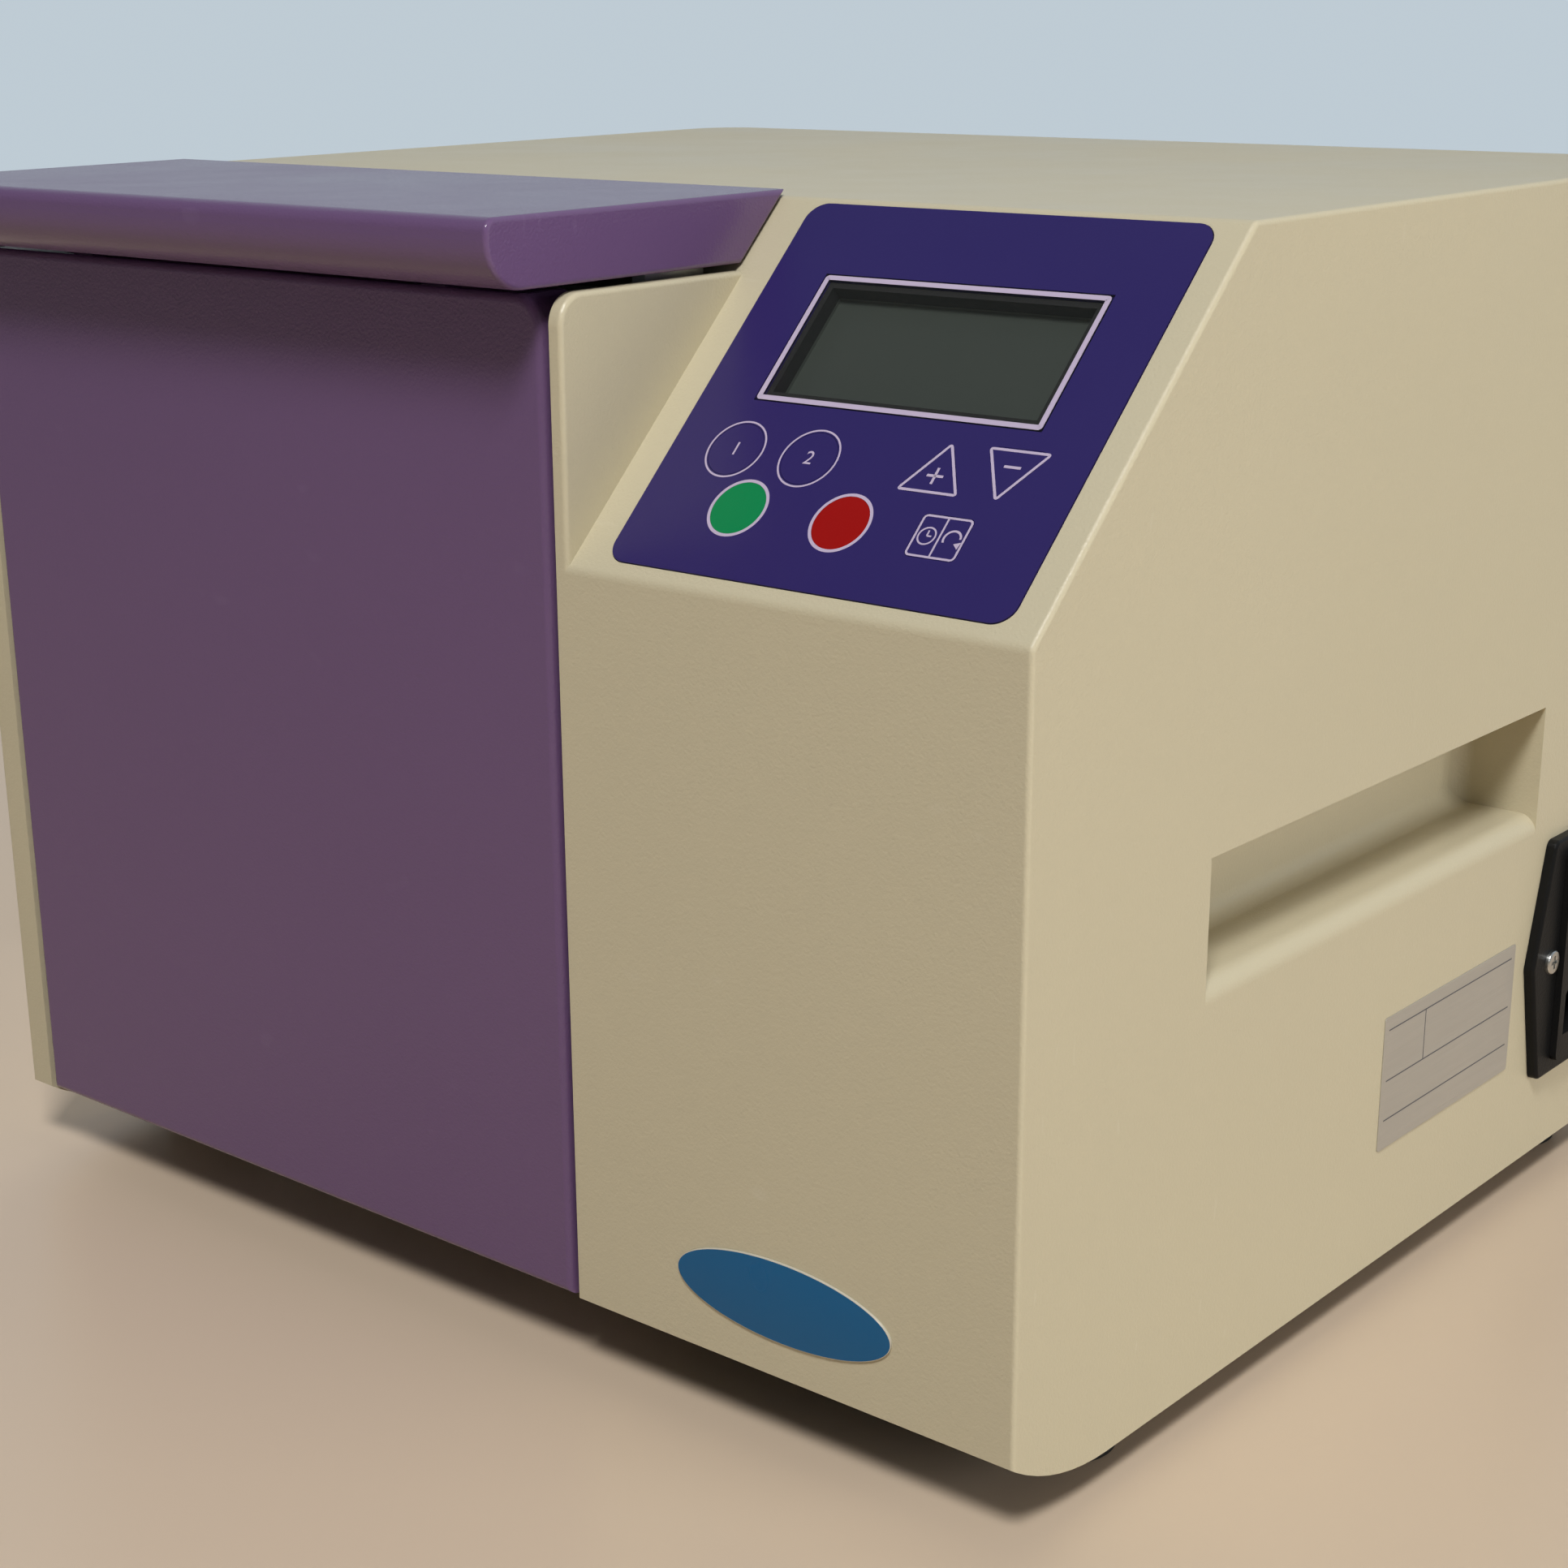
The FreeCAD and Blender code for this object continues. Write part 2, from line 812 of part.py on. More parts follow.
def make_rear_screws():
    return Part.makeCompound([
        screw(V(x, rear_y, z), V(0, -1, 0), wall, screw_radius, screw_head_radius, screw_head_height)
        for x, z in rear_screw_places()
    ])


def hinge_xs():
    return [door_left + hinge_inset, door_right - hinge_inset]


def pivot_xs():
    return [door_left + pivot_inset, door_right - pivot_inset]


def plate_screw_places():
    x0 = door_left + door_skin + plate_boss_inset
    x1 = door_right - door_skin - plate_boss_inset
    z0 = door_bottom + plate_bottom_rise + plate_boss_radius
    z1 = pivot_z - pivot_boss_radius - plate_boss_radius
    return [(x, z) for x in (x0, x1) for z in (z0, (z0 + z1) / 2, z1)]


def bored_bosses(x, y, z, gap, length, radius, bore, skin_y):
    """A pair of bosses either side of an arm, webbed to the door's skin."""
    parts = []
    for side in (-1, 1):
        x0, x1 = sorted([x + side * gap, x + side * (gap + length)])
        parts.append(rod_x(x0, x1, y, z, radius))
        parts.append(box(x0, x1, skin_y, y, z - radius, z + radius))
    return parts


def upper_corner(edge, z):
    """True for an edge that runs front to back at one height."""
    return edge_at(edge, 2, z) and abs(edge.Vertexes[0].X - edge.Vertexes[-1].X) < seat_fit


def make_door_panel():
    """Moulded door: a shallow tray open to the rear."""
    shell = box(door_left, door_right, front_y, plate_front, door_bottom, door_top)
    shell = fillet_where(shell, door_corner_round, lambda e: upper_corner(e, door_top))
    shell = fillet_where(shell, door_edge_round, lambda e: edge_at(e, 1, front_y))
    hollow = box(door_left + door_skin, door_right - door_skin, front_y + door_skin, door_rear,
                 door_bottom + door_skin, door_top - door_skin)
    hollow = fillet_where(hollow, door_corner_round - door_skin,
                          lambda e: upper_corner(e, door_top - door_skin))
    shell = shell.cut(hollow)
    skin_y = front_y + door_skin / 2
    extras = []
    for x in hinge_xs():
        extras += bored_bosses(x, hinge_y, hinge_z, hinge_arm_width / 2 + soft_gap, hinge_boss_length,
                               hinge_boss_radius, hinge_pin_radius, skin_y)
    for x in pivot_xs():
        extras += bored_bosses(x, pivot_y, pivot_z, lug_width / 2 + soft_gap, pivot_boss_length,
                               pivot_boss_radius, pivot_radius, skin_y)
    extras += [rod_y(skin_y, plate_front, x, z, plate_boss_radius) for x, z in plate_screw_places()]
    shell = shell.fuse(extras)
    tools = []
    for x in hinge_xs():
        half = hinge_arm_width / 2 + soft_gap
        tools.append(rod_x(x - hinge_boss_length * 2, x + hinge_boss_length * 2, hinge_y, hinge_z,
                           hinge_pin_radius + run_fit))
        tools.append(box(x - half, x + half, front_y + door_skin, door_rear, door_bottom - overrun,
                         door_bottom + door_skin + overrun))
    for x in pivot_xs():
        half = lug_width / 2 + soft_gap
        tools.append(rod_x(x - pivot_boss_length * 2, x + pivot_boss_length * 2, pivot_y, pivot_z,
                           pivot_radius + seat_fit))
        tools.append(box(x - half, x + half, front_y + door_skin, door_rear, door_top - door_skin - overrun,
                         door_top + overrun))
    tools += [rod_y(plate_front - door_depth / 2, plate_front + overrun, x, z, plate_screw_radius + seat_fit)
              for x, z in plate_screw_places()]
    return shell.cut(tools)


def make_inner_plate():
    """Stainless plate that the bag is pressed against."""
    z0 = door_bottom + plate_bottom_rise
    z1 = door_top - door_skin
    plate = rounded_bar(door_left + door_skin / 2, door_right - door_skin / 2, z0, z1,
                        plate_front, door_rear, paddle_corner / 2)
    tools = [rod_y(plate_front - overrun, door_rear + overrun, x, z, plate_screw_radius + seat_fit)
             for x, z in plate_screw_places()]
    return plate.cut(tools)


def make_plate_screws():
    length = door_depth / 2 - plate_thickness
    return Part.makeCompound([
        screw(V(x, door_rear, z), V(0, -1, 0), length, plate_screw_radius, plate_screw_head, plate_thickness)
        for x, z in plate_screw_places()
    ])


def make_hinge_brackets():
    """Arms on the base plate that hold the door's hinge pins."""
    arms = []
    foot_y = front_y + front_curve_depth + base_gap
    foot_top = floor_z + hinge_foot_thickness
    for x in hinge_xs():
        x0 = x - hinge_arm_width / 2
        x1 = x + hinge_arm_width / 2
        eye = rod_x(x0, x1, hinge_y, hinge_z, hinge_eye)
        lean = math.atan2(foot_top - hinge_z, foot_y + hinge_foot_thickness - hinge_y)
        side_y = -math.sin(lean) * strap_width / 2
        side_z = math.cos(lean) * strap_width / 2
        end_y = foot_y + hinge_foot_thickness
        strap = side_prism(
            [
                (hinge_y + side_y, hinge_z + side_z),
                (hinge_y - side_y, hinge_z - side_z),
                (foot_y, floor_z),
                (end_y + hinge_foot_thickness, floor_z),
                (end_y + hinge_foot_thickness, foot_top + side_z),
                (end_y, foot_top + side_z),
            ],
            [0] * 6,
            x0,
            x1,
        )
        foot = box(x - hinge_foot_width / 2, x + hinge_foot_width / 2, foot_y, foot_y + hinge_foot_length,
                   floor_z, foot_top)
        arm = fuse([eye, strap, foot])
        arms.append(arm.cut(rod_x(x0 - overrun, x1 + overrun, hinge_y, hinge_z, hinge_pin_radius + seat_fit)))
    return Part.makeCompound(arms)


def make_hinge_pins():
    reach = hinge_arm_width / 2 + soft_gap + hinge_boss_length
    return Part.makeCompound([
        rod_x(x - reach, x + reach, hinge_y, hinge_z, hinge_pin_radius) for x in hinge_xs()
    ])


def make_pivot_pins():
    reach = lug_width / 2 + soft_gap + pivot_boss_length
    return Part.makeCompound([
        rod_x(x - reach, x + reach, pivot_y, pivot_z, pivot_radius) for x in pivot_xs()
    ])


def make_door_handle():
    """The thick ledge: rounded nose in front, rear end cut to lie along the slope."""
    ledge_top = ledge_z + ledge_thickness
    over = 1 / math.tan(slope_angle)
    bottom_rear = front_y + (ledge_z - slope_z) * over - ledge_slope_gap / math.sin(slope_angle)
    top_rear = bottom_rear + ledge_thickness * over
    outline = [
        (front_y - nose_reach, ledge_z),
        (bottom_rear, ledge_z),
        (top_rear, ledge_top),
        (front_y - nose_reach, ledge_top),
    ]
    x0 = left_x + ledge_left_inset
    x1 = chamber_right + ledge_end_inset
    slab = side_prism(outline, [nose_low_round, 0, 0, nose_top_round], x0, x1)
    slab = fillet_where(slab, ledge_end_round, lambda e: edge_at(e, 0, x0) or edge_at(e, 0, x1))
    lugs = []
    for x in pivot_xs():
        y0 = pivot_y - lug_thickness / 2
        lug = box(x - lug_width / 2, x + lug_width / 2, y0, y0 + lug_thickness, pivot_z, ledge_z + overrun)
        eye = rod_x(x - lug_width / 2, x + lug_width / 2, pivot_y, pivot_z, lug_eye)
        lugs += [lug, eye]
    slab = slab.fuse(lugs).removeSplitter()
    return slab.cut([
        rod_x(x - lug_width, x + lug_width, pivot_y, pivot_z, pivot_radius + run_fit) for x in pivot_xs()
    ])


def make_latch_hooks():
    """Blades under the ledge that drop behind the keepers."""
    hooks = []
    y0 = keeper_y + keeper_radius + hook_gap
    for x, side in ((inner_left + hook_inset, -1), (inner_right - hook_inset, 1)):
        x0 = x - hook_thickness / 2
        x1 = x + hook_thickness / 2
        low = ledge_z - hook_length
        outline = [
            (y0 + hook_width / 3, low),
            (y0 + hook_width, low),
            (y0 + hook_width, ledge_z),
            (y0, ledge_z),
            (y0, low + hook_width / 3),
        ]
        blade = side_prism(outline, [0, hook_width / 4, 0, 0, 0], x0, x1)
        foot = box(x0, x1, y0 - hook_width / 4, y0 + hook_foot_length,
                   ledge_z - hook_foot_thickness, ledge_z)
        hooks.append(fuse([blade, foot]))
    return Part.makeCompound(hooks)


def make_chamber_liner():
    """Folded stainless chamber: back, sides and floor."""
    outer = box(liner_left, liner_right, front_y + liner_front_back, liner_back,
                liner_floor - liner_thickness, shoulder_z)
    hollow = box(inner_left, inner_right, front_y, chamber_back, liner_floor, shoulder_z + overrun)
    liner = outer.cut(hollow)
    top = base_z + casing_back_height()
    liner = liner.cut([
        box(left_x, right_x, front_y, chamber_back, liner_side_top, top_z),
        box(left_x, right_x, front_y, rear_y, top, top_z),
    ])
    tools = []
    for x in (paddle_left_x, paddle_right_x):
        tools.append(rod_y(chamber_back - overrun, liner_back + overrun, x, drive_z,
                           rod_radius + bush_wall + seal_extra))
        tools.append(rod_y(chamber_back - overrun, liner_back + overrun, x, guide_z,
                           guide_radius + guide_bush_wall + seal_extra))
    return liner.cut(tools)


def casing_back_height():
    """Height over the casing's foot at which the sloping wall's underside meets the chamber's back."""
    slope_height = casing_height - slope_fall + chamber_depth * math.tan(slope_angle)
    return slope_height - wall / math.cos(slope_angle) - liner_gap


def rod_rows():
    """Each rod hole: across place, height, rod radius, bush wall, bush end."""
    rows = []
    for x in (paddle_left_x, paddle_right_x):
        rows.append((x, drive_z, rod_radius, bush_wall, front_y + bush_end_back))
        rows.append((x, guide_z, guide_radius, guide_bush_wall, front_y + guide_bush_end_back))
    return rows


def make_rod_bushes():
    bushes = []
    for x, z, radius, thick, end in rod_rows():
        sleeve = rod_y(seal_rear, end, x, z, radius + thick - seat_fit)
        flange = rod_y(bush_plate_rear, bush_plate_rear + bush_flange_thickness, x, z,
                       radius + thick + bush_flange)
        bore = rod_y(seal_rear - overrun, end + overrun, x, z, radius + run_fit)
        bushes.append(fuse([sleeve, flange]).cut(bore))
    return Part.makeCompound(bushes)


def make_rod_seals():
    seals = []
    for x, z, radius, thick, end in rod_rows():
        ring = rod_y(chamber_back, seal_rear, x, z, radius + thick + seal_extra - seat_fit)
        seals.append(ring.cut(rod_y(chamber_back - overrun, seal_rear + overrun, x, z, radius + seal_gap)))
    return Part.makeCompound(seals)


def make_bush_plate():
    """Upright plate behind the chamber that holds the rod bushes."""
    x0 = left_x + grip_depth + grip_wall + bush_plate_grip_gap
    x1 = chamber_right - bush_plate_side_gap
    plate = rounded_bar(x0, x1, floor_z, top_z - bush_plate_drop, liner_back, bush_plate_rear, paddle_corner)
    foot = box(x0, x1, liner_back, bush_plate_rear + bearing_foot_width,
               floor_z, floor_z + bearing_foot_thickness)
    plate = fuse([plate, foot])
    tools = []
    for x, z, radius, thick, end in rod_rows():
        tools.append(rod_y(liner_back - overrun, bush_plate_rear + overrun, x, z, radius + thick))
        tools.append(rod_y(liner_back - overrun, seal_rear, x, z, radius + thick + seal_extra))
    return plate.cut(tools)


def make_paddle(x):
    """Stainless paddle: a pan with rounded front and a boss behind for each rod."""
    x0 = x - paddle_width / 2
    x1 = x + paddle_width / 2
    z1 = paddle_foot + paddle_height
    pan = rounded_bar(x0, x1, paddle_foot, z1, paddle_front, paddle_rear, paddle_corner)
    pan = fillet_where(pan, paddle_edge_round, lambda e: edge_at(e, 1, paddle_front))
    hollow = rounded_bar(x0 + paddle_skin, x1 - paddle_skin, paddle_foot + paddle_skin, z1 - paddle_skin,
                         paddle_front + paddle_skin, paddle_rear + overrun, paddle_corner - paddle_skin)
    bosses = [
        rod_y(paddle_front + paddle_skin / 2, paddle_rear, x, drive_z, paddle_boss_radius),
        rod_y(paddle_front + paddle_skin / 2, paddle_rear, x, guide_z, paddle_boss_radius),
    ]
    return fuse([pan.cut(hollow)] + bosses)


def make_push_rod(x):
    """Round rod with a flat bored tongue behind."""
    bar = rod_y(paddle_rear, front_y + rod_end_back, x, drive_z, rod_radius)
    half = tongue_thickness / 2
    eye = rod_x(x - half, x + half, wrist_y, drive_z, rod_radius)
    web = box(x - half, x + half, front_y + rod_end_back - overrun, wrist_y, drive_z - rod_radius,
              drive_z + rod_radius)
    round_web = web.common(rod_y(front_y, rear_y, x, drive_z, rod_radius))
    tongue = fuse([bar, round_web, eye])
    return tongue.cut(rod_x(x - half - overrun, x + half + overrun, wrist_y, drive_z, wrist_radius + run_fit))


def make_guide_rod(x):
    rod_piece = rod_y(paddle_rear, front_y + guide_end_back, x, guide_z, guide_radius)
    end = front_y + guide_end_back
    return fillet_where(rod_piece, guide_radius / 4, lambda e: edge_at(e, 1, end))


def eccentric_rows():
    """Each eccentric: its paddle's place and its centre's height."""
    return [(paddle_left_x, drive_z + paddle_travel), (paddle_right_x, drive_z - paddle_travel)]


def make_crankshaft():
    """Straight shaft with two opposed eccentric discs."""
    start = bearing_left_x - overrun
    end = pulley_x + pulley_width + overrun
    parts = [rod_x(start, end, crank_y, drive_z, shaft_radius)]
    for x, z in eccentric_rows():
        half = eccentric_width / 2
        parts.append(rod_x(x - half, x + half, crank_y, z, eccentric_radius))
        parts.append(rod_x(x - half - overrun, x + half + overrun, crank_y, drive_z,
                           shaft_radius + shaft_collar))
    return fuse(parts)


def make_crank_bearings():
    rings = []
    for x in (bearing_left_x, bearing_right_x):
        ring = rod_x(x, x + bearing_plate_thickness, crank_y, drive_z, bearing_outer - seat_fit)
        rings.append(ring.cut(rod_x(x - overrun, x + bearing_plate_thickness + overrun, crank_y, drive_z,
                                    shaft_radius + run_fit)))
    return Part.makeCompound(rings)


def make_bearing_plate(x):
    """Upright plate that carries one end of the crankshaft."""
    x1 = x + bearing_plate_thickness
    head = rod_x(x, x1, crank_y, drive_z, bearing_head_radius)
    half = bearing_foot_length / 2
    outline = [
        (crank_y - half, floor_z),
        (crank_y + half, floor_z),
        (crank_y + bearing_head_radius, drive_z),
        (crank_y - bearing_head_radius, drive_z),
    ]
    web = side_prism(outline, [0] * 4, x, x1)
    foot = box(x, x + bearing_foot_width, crank_y - half, crank_y + half, floor_z,
               floor_z + bearing_foot_thickness)
    plate = fuse([head, web, foot])
    window_low = floor_z + bearing_foot_thickness * 2
    window = side_prism(
        [
            (crank_y - half / 2, window_low),
            (crank_y + half / 2, window_low),
            (crank_y + bearing_head_radius / 2, drive_z - bearing_head_radius - bearing_foot_thickness),
            (crank_y - bearing_head_radius / 2, drive_z - bearing_head_radius - bearing_foot_thickness),
        ],
        [bearing_foot_thickness] * 4,
        x - overrun,
        x1 + overrun,
    )
    return plate.cut([window, rod_x(x - overrun, x1 + overrun, crank_y, drive_z, bearing_outer)])


def make_con_rod(x, z):
    """Eccentric strap with a forked small end beside the push rod's tongue."""
    half = eccentric_width / 2
    inside = tongue_thickness / 2 + soft_gap
    outside = inside + fork_arm
    ring = rod_x(x - half, x + half, crank_y, z, eccentric_radius + strap_wall)
    way = V(0, crank_y - wrist_y, z - drive_z)
    reach = way.Length
    lean = FreeCAD.Rotation(V(1, 0, 0), math.degrees(math.atan2(way.z, way.y)))
    flat = box(-half, half, fork_reach, reach, -shank_height / 2, shank_height / 2)
    fork = box(-outside, outside, 0, fork_reach + fork_arm, -fork_eye, fork_eye)
    fork = fork.fuse(rod_x(-outside, outside, 0, 0, fork_eye))
    fork = fork.cut(box(-inside, inside, -fork_eye * 2, fork_reach, -fork_eye * 2, fork_eye * 2))
    pins = [
        rod_x(-outside - wrist_head, -inside, 0, 0, wrist_radius),
        rod_x(inside, outside + wrist_head, 0, 0, wrist_radius),
    ]
    arm = fork.fuse([flat] + pins)
    arm.Placement = FreeCAD.Placement(V(x, wrist_y, drive_z), lean)
    rod_piece = fuse([ring, arm])
    return rod_piece.cut(rod_x(x - half - overrun, x + half + overrun, crank_y, z, eccentric_radius + run_fit))


def pulley(x, y, z, radius, hub_radius, bore):
    """Flanged belt pulley with a bore."""
    x1 = x + pulley_width
    body = rod_x(x, x1, y, z, radius)
    sides = [
        rod_x(x, x + pulley_flange_width, y, z, radius + pulley_flange),
        rod_x(x1 - pulley_flange_width, x1, y, z, radius + pulley_flange),
    ]
    wheel = fuse([body] + sides)
    rim = radius - hub_radius
    if rim > hub_radius:
        groove = rod_x(x1 - pulley_width / 3, x1 + overrun, y, z, radius - strap_wall)
        groove = groove.cut(rod_x(x, x1 + overrun, y, z, hub_radius))
        wheel = wheel.cut(groove)
    if bore:
        wheel = wheel.cut(rod_x(x - overrun, x1 + overrun, y, z, bore))
    return wheel


def make_motor_pulley():
    """Small pulley with the motor's shaft."""
    wheel = pulley(pulley_x, motor_y, motor_z, motor_pulley_radius, motor_pulley_radius, 0)
    shaft = rod_x(motor_x - motor_nose_length, pulley_x + pulley_width + overrun, motor_y, motor_z,
                  motor_shaft_radius)
    return fuse([wheel, shaft])


def make_belt():
    """Flat belt round both pulleys."""
    margin = (pulley_width - belt_width) / 2
    x0 = pulley_x + margin
    x1 = x0 + belt_width
    apart = V(0, motor_y - crank_y, motor_z - drive_z)

    def loop(extra):
        big = driven_radius + belt_gap + extra
        small = motor_pulley_radius + belt_gap + extra
        lean = math.acos((big - small) / apart.Length)
        line = math.atan2(apart.z, apart.y)

        def at(centre_y, centre_z, radius, angle):
            return V(x0, centre_y + radius * math.cos(angle), centre_z + radius * math.sin(angle))

        a = at(crank_y, drive_z, big, line + lean)
        b = at(crank_y, drive_z, big, line - lean)
        far = at(crank_y, drive_z, big, line + math.pi)
        c = at(motor_y, motor_z, small, line + lean)
        d = at(motor_y, motor_z, small, line - lean)
        near = at(motor_y, motor_z, small, line)
        edges = [
            Part.Arc(a, far, b).toShape(),
            Part.LineSegment(b, d).toShape(),
            Part.Arc(d, near, c).toShape(),
            Part.LineSegment(c, a).toShape(),
        ]
        return Part.Face(Part.Wire(edges)).extrude(V(x1 - x0, 0, 0))

    return loop(belt_thickness).cut(loop(0))


def motor_screw_spots():
    spots = []
    for step in range(4):
        angle = math.pi / 4 + step * math.pi / 2
        spots.append((motor_y + motor_screw_circle * math.cos(angle),
                      motor_z + motor_screw_circle * math.sin(angle)))
    return spots


def make_motor():
    """Round motor body with stepped end caps and a nose that centres it in the bracket."""
    end = motor_x - motor_length
    body = rod_x(end + motor_cap, motor_x - motor_cap, motor_y, motor_z, motor_radius)
    caps = [
        rod_x(end, end + motor_cap, motor_y, motor_z, motor_radius - motor_cap_step),
        rod_x(motor_x - motor_cap, motor_x, motor_y, motor_z, motor_radius - motor_cap_step),
    ]
    rounded = fillet_where(caps[0], motor_cap_step, lambda e: edge_at(e, 0, end))
    nose = rod_x(motor_x - overrun, motor_x + motor_nose_length, motor_y, motor_z, motor_nose_radius - seat_fit)
    motor = fuse([body, rounded, caps[1], nose])
    tools = [rod_x(motor_x - motor_nose_length * 2, motor_x + motor_nose_length * 2, motor_y, motor_z,
                   motor_shaft_radius + run_fit)]
    tools += [rod_x(motor_x - motor_cap / 2, motor_x + overrun, y, z, motor_screw_radius + seat_fit)
              for y, z in motor_screw_spots()]
    return motor.cut(tools)


def make_motor_bracket():
    """Angle bracket on the base plate that holds the motor by its face."""
    half = motor_radius + bracket_margin
    outline = [
        (motor_y - half, floor_z),
        (motor_y + half, floor_z),
        (motor_y + half, motor_z + half),
        (motor_y - half, motor_z + half),
    ]
    plate = side_prism(outline, [0, 0, half / 2, half / 2], motor_x, motor_x + bracket_thickness)
    low = motor_z - motor_radius - floor_z
    foot = box(motor_x - motor_length * motor_foot_share, motor_x + overrun, motor_y - half, motor_y + half,
               floor_z, floor_z + min(bracket_thickness, low * motor_foot_share))
    bracket = fuse([plate, foot])
    tools = [rod_x(motor_x - overrun, motor_x + bracket_thickness + overrun, motor_y, motor_z,
                   motor_nose_radius)]
    tools += [rod_x(motor_x - overrun, motor_x + bracket_thickness + overrun, y, z,
                    motor_screw_radius + seat_fit) for y, z in motor_screw_spots()]
    return bracket.cut(tools)


def make_motor_screws():
    face = motor_x + bracket_thickness
    return Part.makeCompound([
        screw(V(face, y, z), V(-1, 0, 0), bracket_thickness + motor_cap / 3, motor_screw_radius,
              motor_screw_head, motor_screw_radius)
        for y, z in motor_screw_spots()
    ])


def round_key(across, along, grow, z0, z1):
    return rod_z(z0, z1, right_x - across, along, round_key_radius + grow)


def arrow_key(across, pointing_up, grow, z0, z1):
    """Rounded triangle key; the outline is grown evenly for its pocket."""
    x = right_x - across
    low = arrow_foot_along
    high = low + arrow_height
    half = arrow_side / 2
    side = math.hypot(half, arrow_height)
    spread = grow * (half + side) / arrow_height
    tip = grow * side / half
    if pointing_up:
        foot_y = low - grow
        points = [V(x - half - spread, foot_y, z0), V(x + half + spread, foot_y, z0), V(x, high + tip, z0)]
    else:
        top_y = high + grow
        points = [V(x + half + spread, top_y, z0), V(x - half - spread, top_y, z0), V(x, low - tip, z0)]
    return prism(points, [arrow_round + grow] * 3, V(0, 0, z1 - z0))


def select_key(grow, z0, z1):
    x0 = right_x - select_across - select_width / 2 - grow
    x1 = x0 + select_width + 2 * grow
    y0 = select_along - select_height / 2 - grow
    y1 = y0 + select_height + 2 * grow
    points = [V(x0, y0, z0), V(x1, y0, z0), V(x1, y1, z0), V(x0, y1, z0)]
    return prism(points, [select_round + grow] * 4, V(0, 0, z1 - z0))


def key_shapes(grow, z0, z1):
    """Every key's outline as a block, by name."""
    return {
        "key_start": round_key(start_across, start_along, grow, z0, z1),
        "key_stop": round_key(stop_across, start_along, grow, z0, z1),
        "key_mode_one": round_key(mode_one_across, mode_key_along, grow, z0, z1),
        "key_mode_two": round_key(mode_two_across, mode_key_along, grow, z0, z1),
        "key_plus": arrow_key(plus_across, True, grow, z0, z1),
        "key_minus": arrow_key(minus_across, False, grow, z0, z1),
        "key_select": select_key(grow, z0, z1),
    }


def make_overlay():
    """Keypad membrane with a pocket for each key and the display's window opening."""
    sheet = overlay_block(0, overlay_proud - overlay_thickness, overlay_proud)
    pocket_floor = overlay_proud - key_thickness - key_travel
    tools = list(key_shapes(key_fit, pocket_floor, overlay_proud + overrun).values())
    tools.append(screen_box(0, -wall, overrun))
    tools.append(screen_box(window_lap + window_gap, overlay_proud - window_thickness, overrun))
    return on_slope(sheet.cut(tools))


def make_window():
    """Clear window let into the membrane."""
    return on_slope(screen_box(window_lap, overlay_proud - window_thickness, overlay_proud))


def make_lcd():
    """Display module behind the casing's opening, with a shallow frame."""
    block = screen_box(lcd_margin, -wall - lcd_depth, -wall)
    face = screen_box(-window_lap, -wall - window_thickness, -wall + overrun)
    return on_slope(block.cut(face))


def make_lcd_gasket():
    """Black frame that seals the display to the underside of its window."""
    top = overlay_proud - window_thickness
    frame = screen_box(-gasket_gap, -wall, top)
    return on_slope(frame.cut(screen_box(-window_lap, -wall - overrun, top + overrun)))


def make_control_board():
    """Circuit board parallel to the sloping face, with the processor and connector on it."""
    x1 = right_x - overlay_right
    x0 = x1 - board_width
    top = -wall - post_height
    board = box(x0, x1, board_start, board_start + board_length, top - board_thickness, top)
    chip = board_length / 5
    parts = [
        board,
        box(x0 + chip, x0 + chip * 2, board_start + chip, board_start + chip * 2, top, top + board_thickness),
        box(x0 + chip * 3, x0 + chip * 5, board_start + chip / 2, board_start + chip,
            top, top + post_height / 2),
    ]
    return on_slope(fuse(parts))


def make_power_board():
    """Mains and motor control board on spacers with its tall parts."""
    x1 = right_x - power_right
    x0 = x1 - power_width
    y0 = front_y + power_start
    y1 = y0 + power_length
    z = floor_z + board_stand
    top = z + board_thickness
    board = box(x0, x1, y0, y1, z, top)
    inset = spacer_radius * 2
    spacers = [rod_z(floor_z, z, x, y, spacer_radius) for x in (x0 + inset, x1 - inset)
               for y in (y0 + inset, y1 - inset)]
    coil_x = x0 + power_width / 2
    core = box(coil_x - transformer_size / 2, coil_x + transformer_size / 2, y1 - transformer_size - inset,
               y1 - inset, top, top + transformer_size)
    cans = [rod_z(top, top + capacitor_height, x0 + inset * 2 + capacitor_radius + capacitor_pitch * i,
                  y0 + inset * 2 + capacitor_radius, capacitor_radius) for i in range(capacitor_count)]
    fin_y = y0 + power_length * heat_sink_share
    fins = [box(x0 + inset, x1 - inset, fin_y + i * inset, fin_y + i * inset + board_thickness, top,
                top + transformer_size) for i in range(heat_sink_fins)]
    spine = box(x0 + inset, x1 - inset, fin_y, fin_y + (heat_sink_fins - 1) * inset, top, top + spacer_radius)
    return fuse([board] + spacers + [core] + cans + fins + [spine])


def make_magnet():
    return rod_y(plate_front - magnet_thickness, plate_front, magnet_x, magnet_z, magnet_radius)


def make_sensor():
    """Door sensor on the inner face of the chamber's wall."""
    x0 = chamber_right + chamber_wall
    y0 = front_y + sensor_start
    z0 = magnet_z - sensor_height / 2
    sensor = box(x0, x0 + sensor_width, y0, y0 + sensor_length, z0, z0 + sensor_height)
    return fillet_where(sensor, sensor_width / 6, lambda e: edge_at(e, 0, x0 + sensor_width))


def inlet_screw_ys():
    return [inlet_y - inlet_screw_spacing / 2, inlet_y + inlet_screw_spacing / 2]


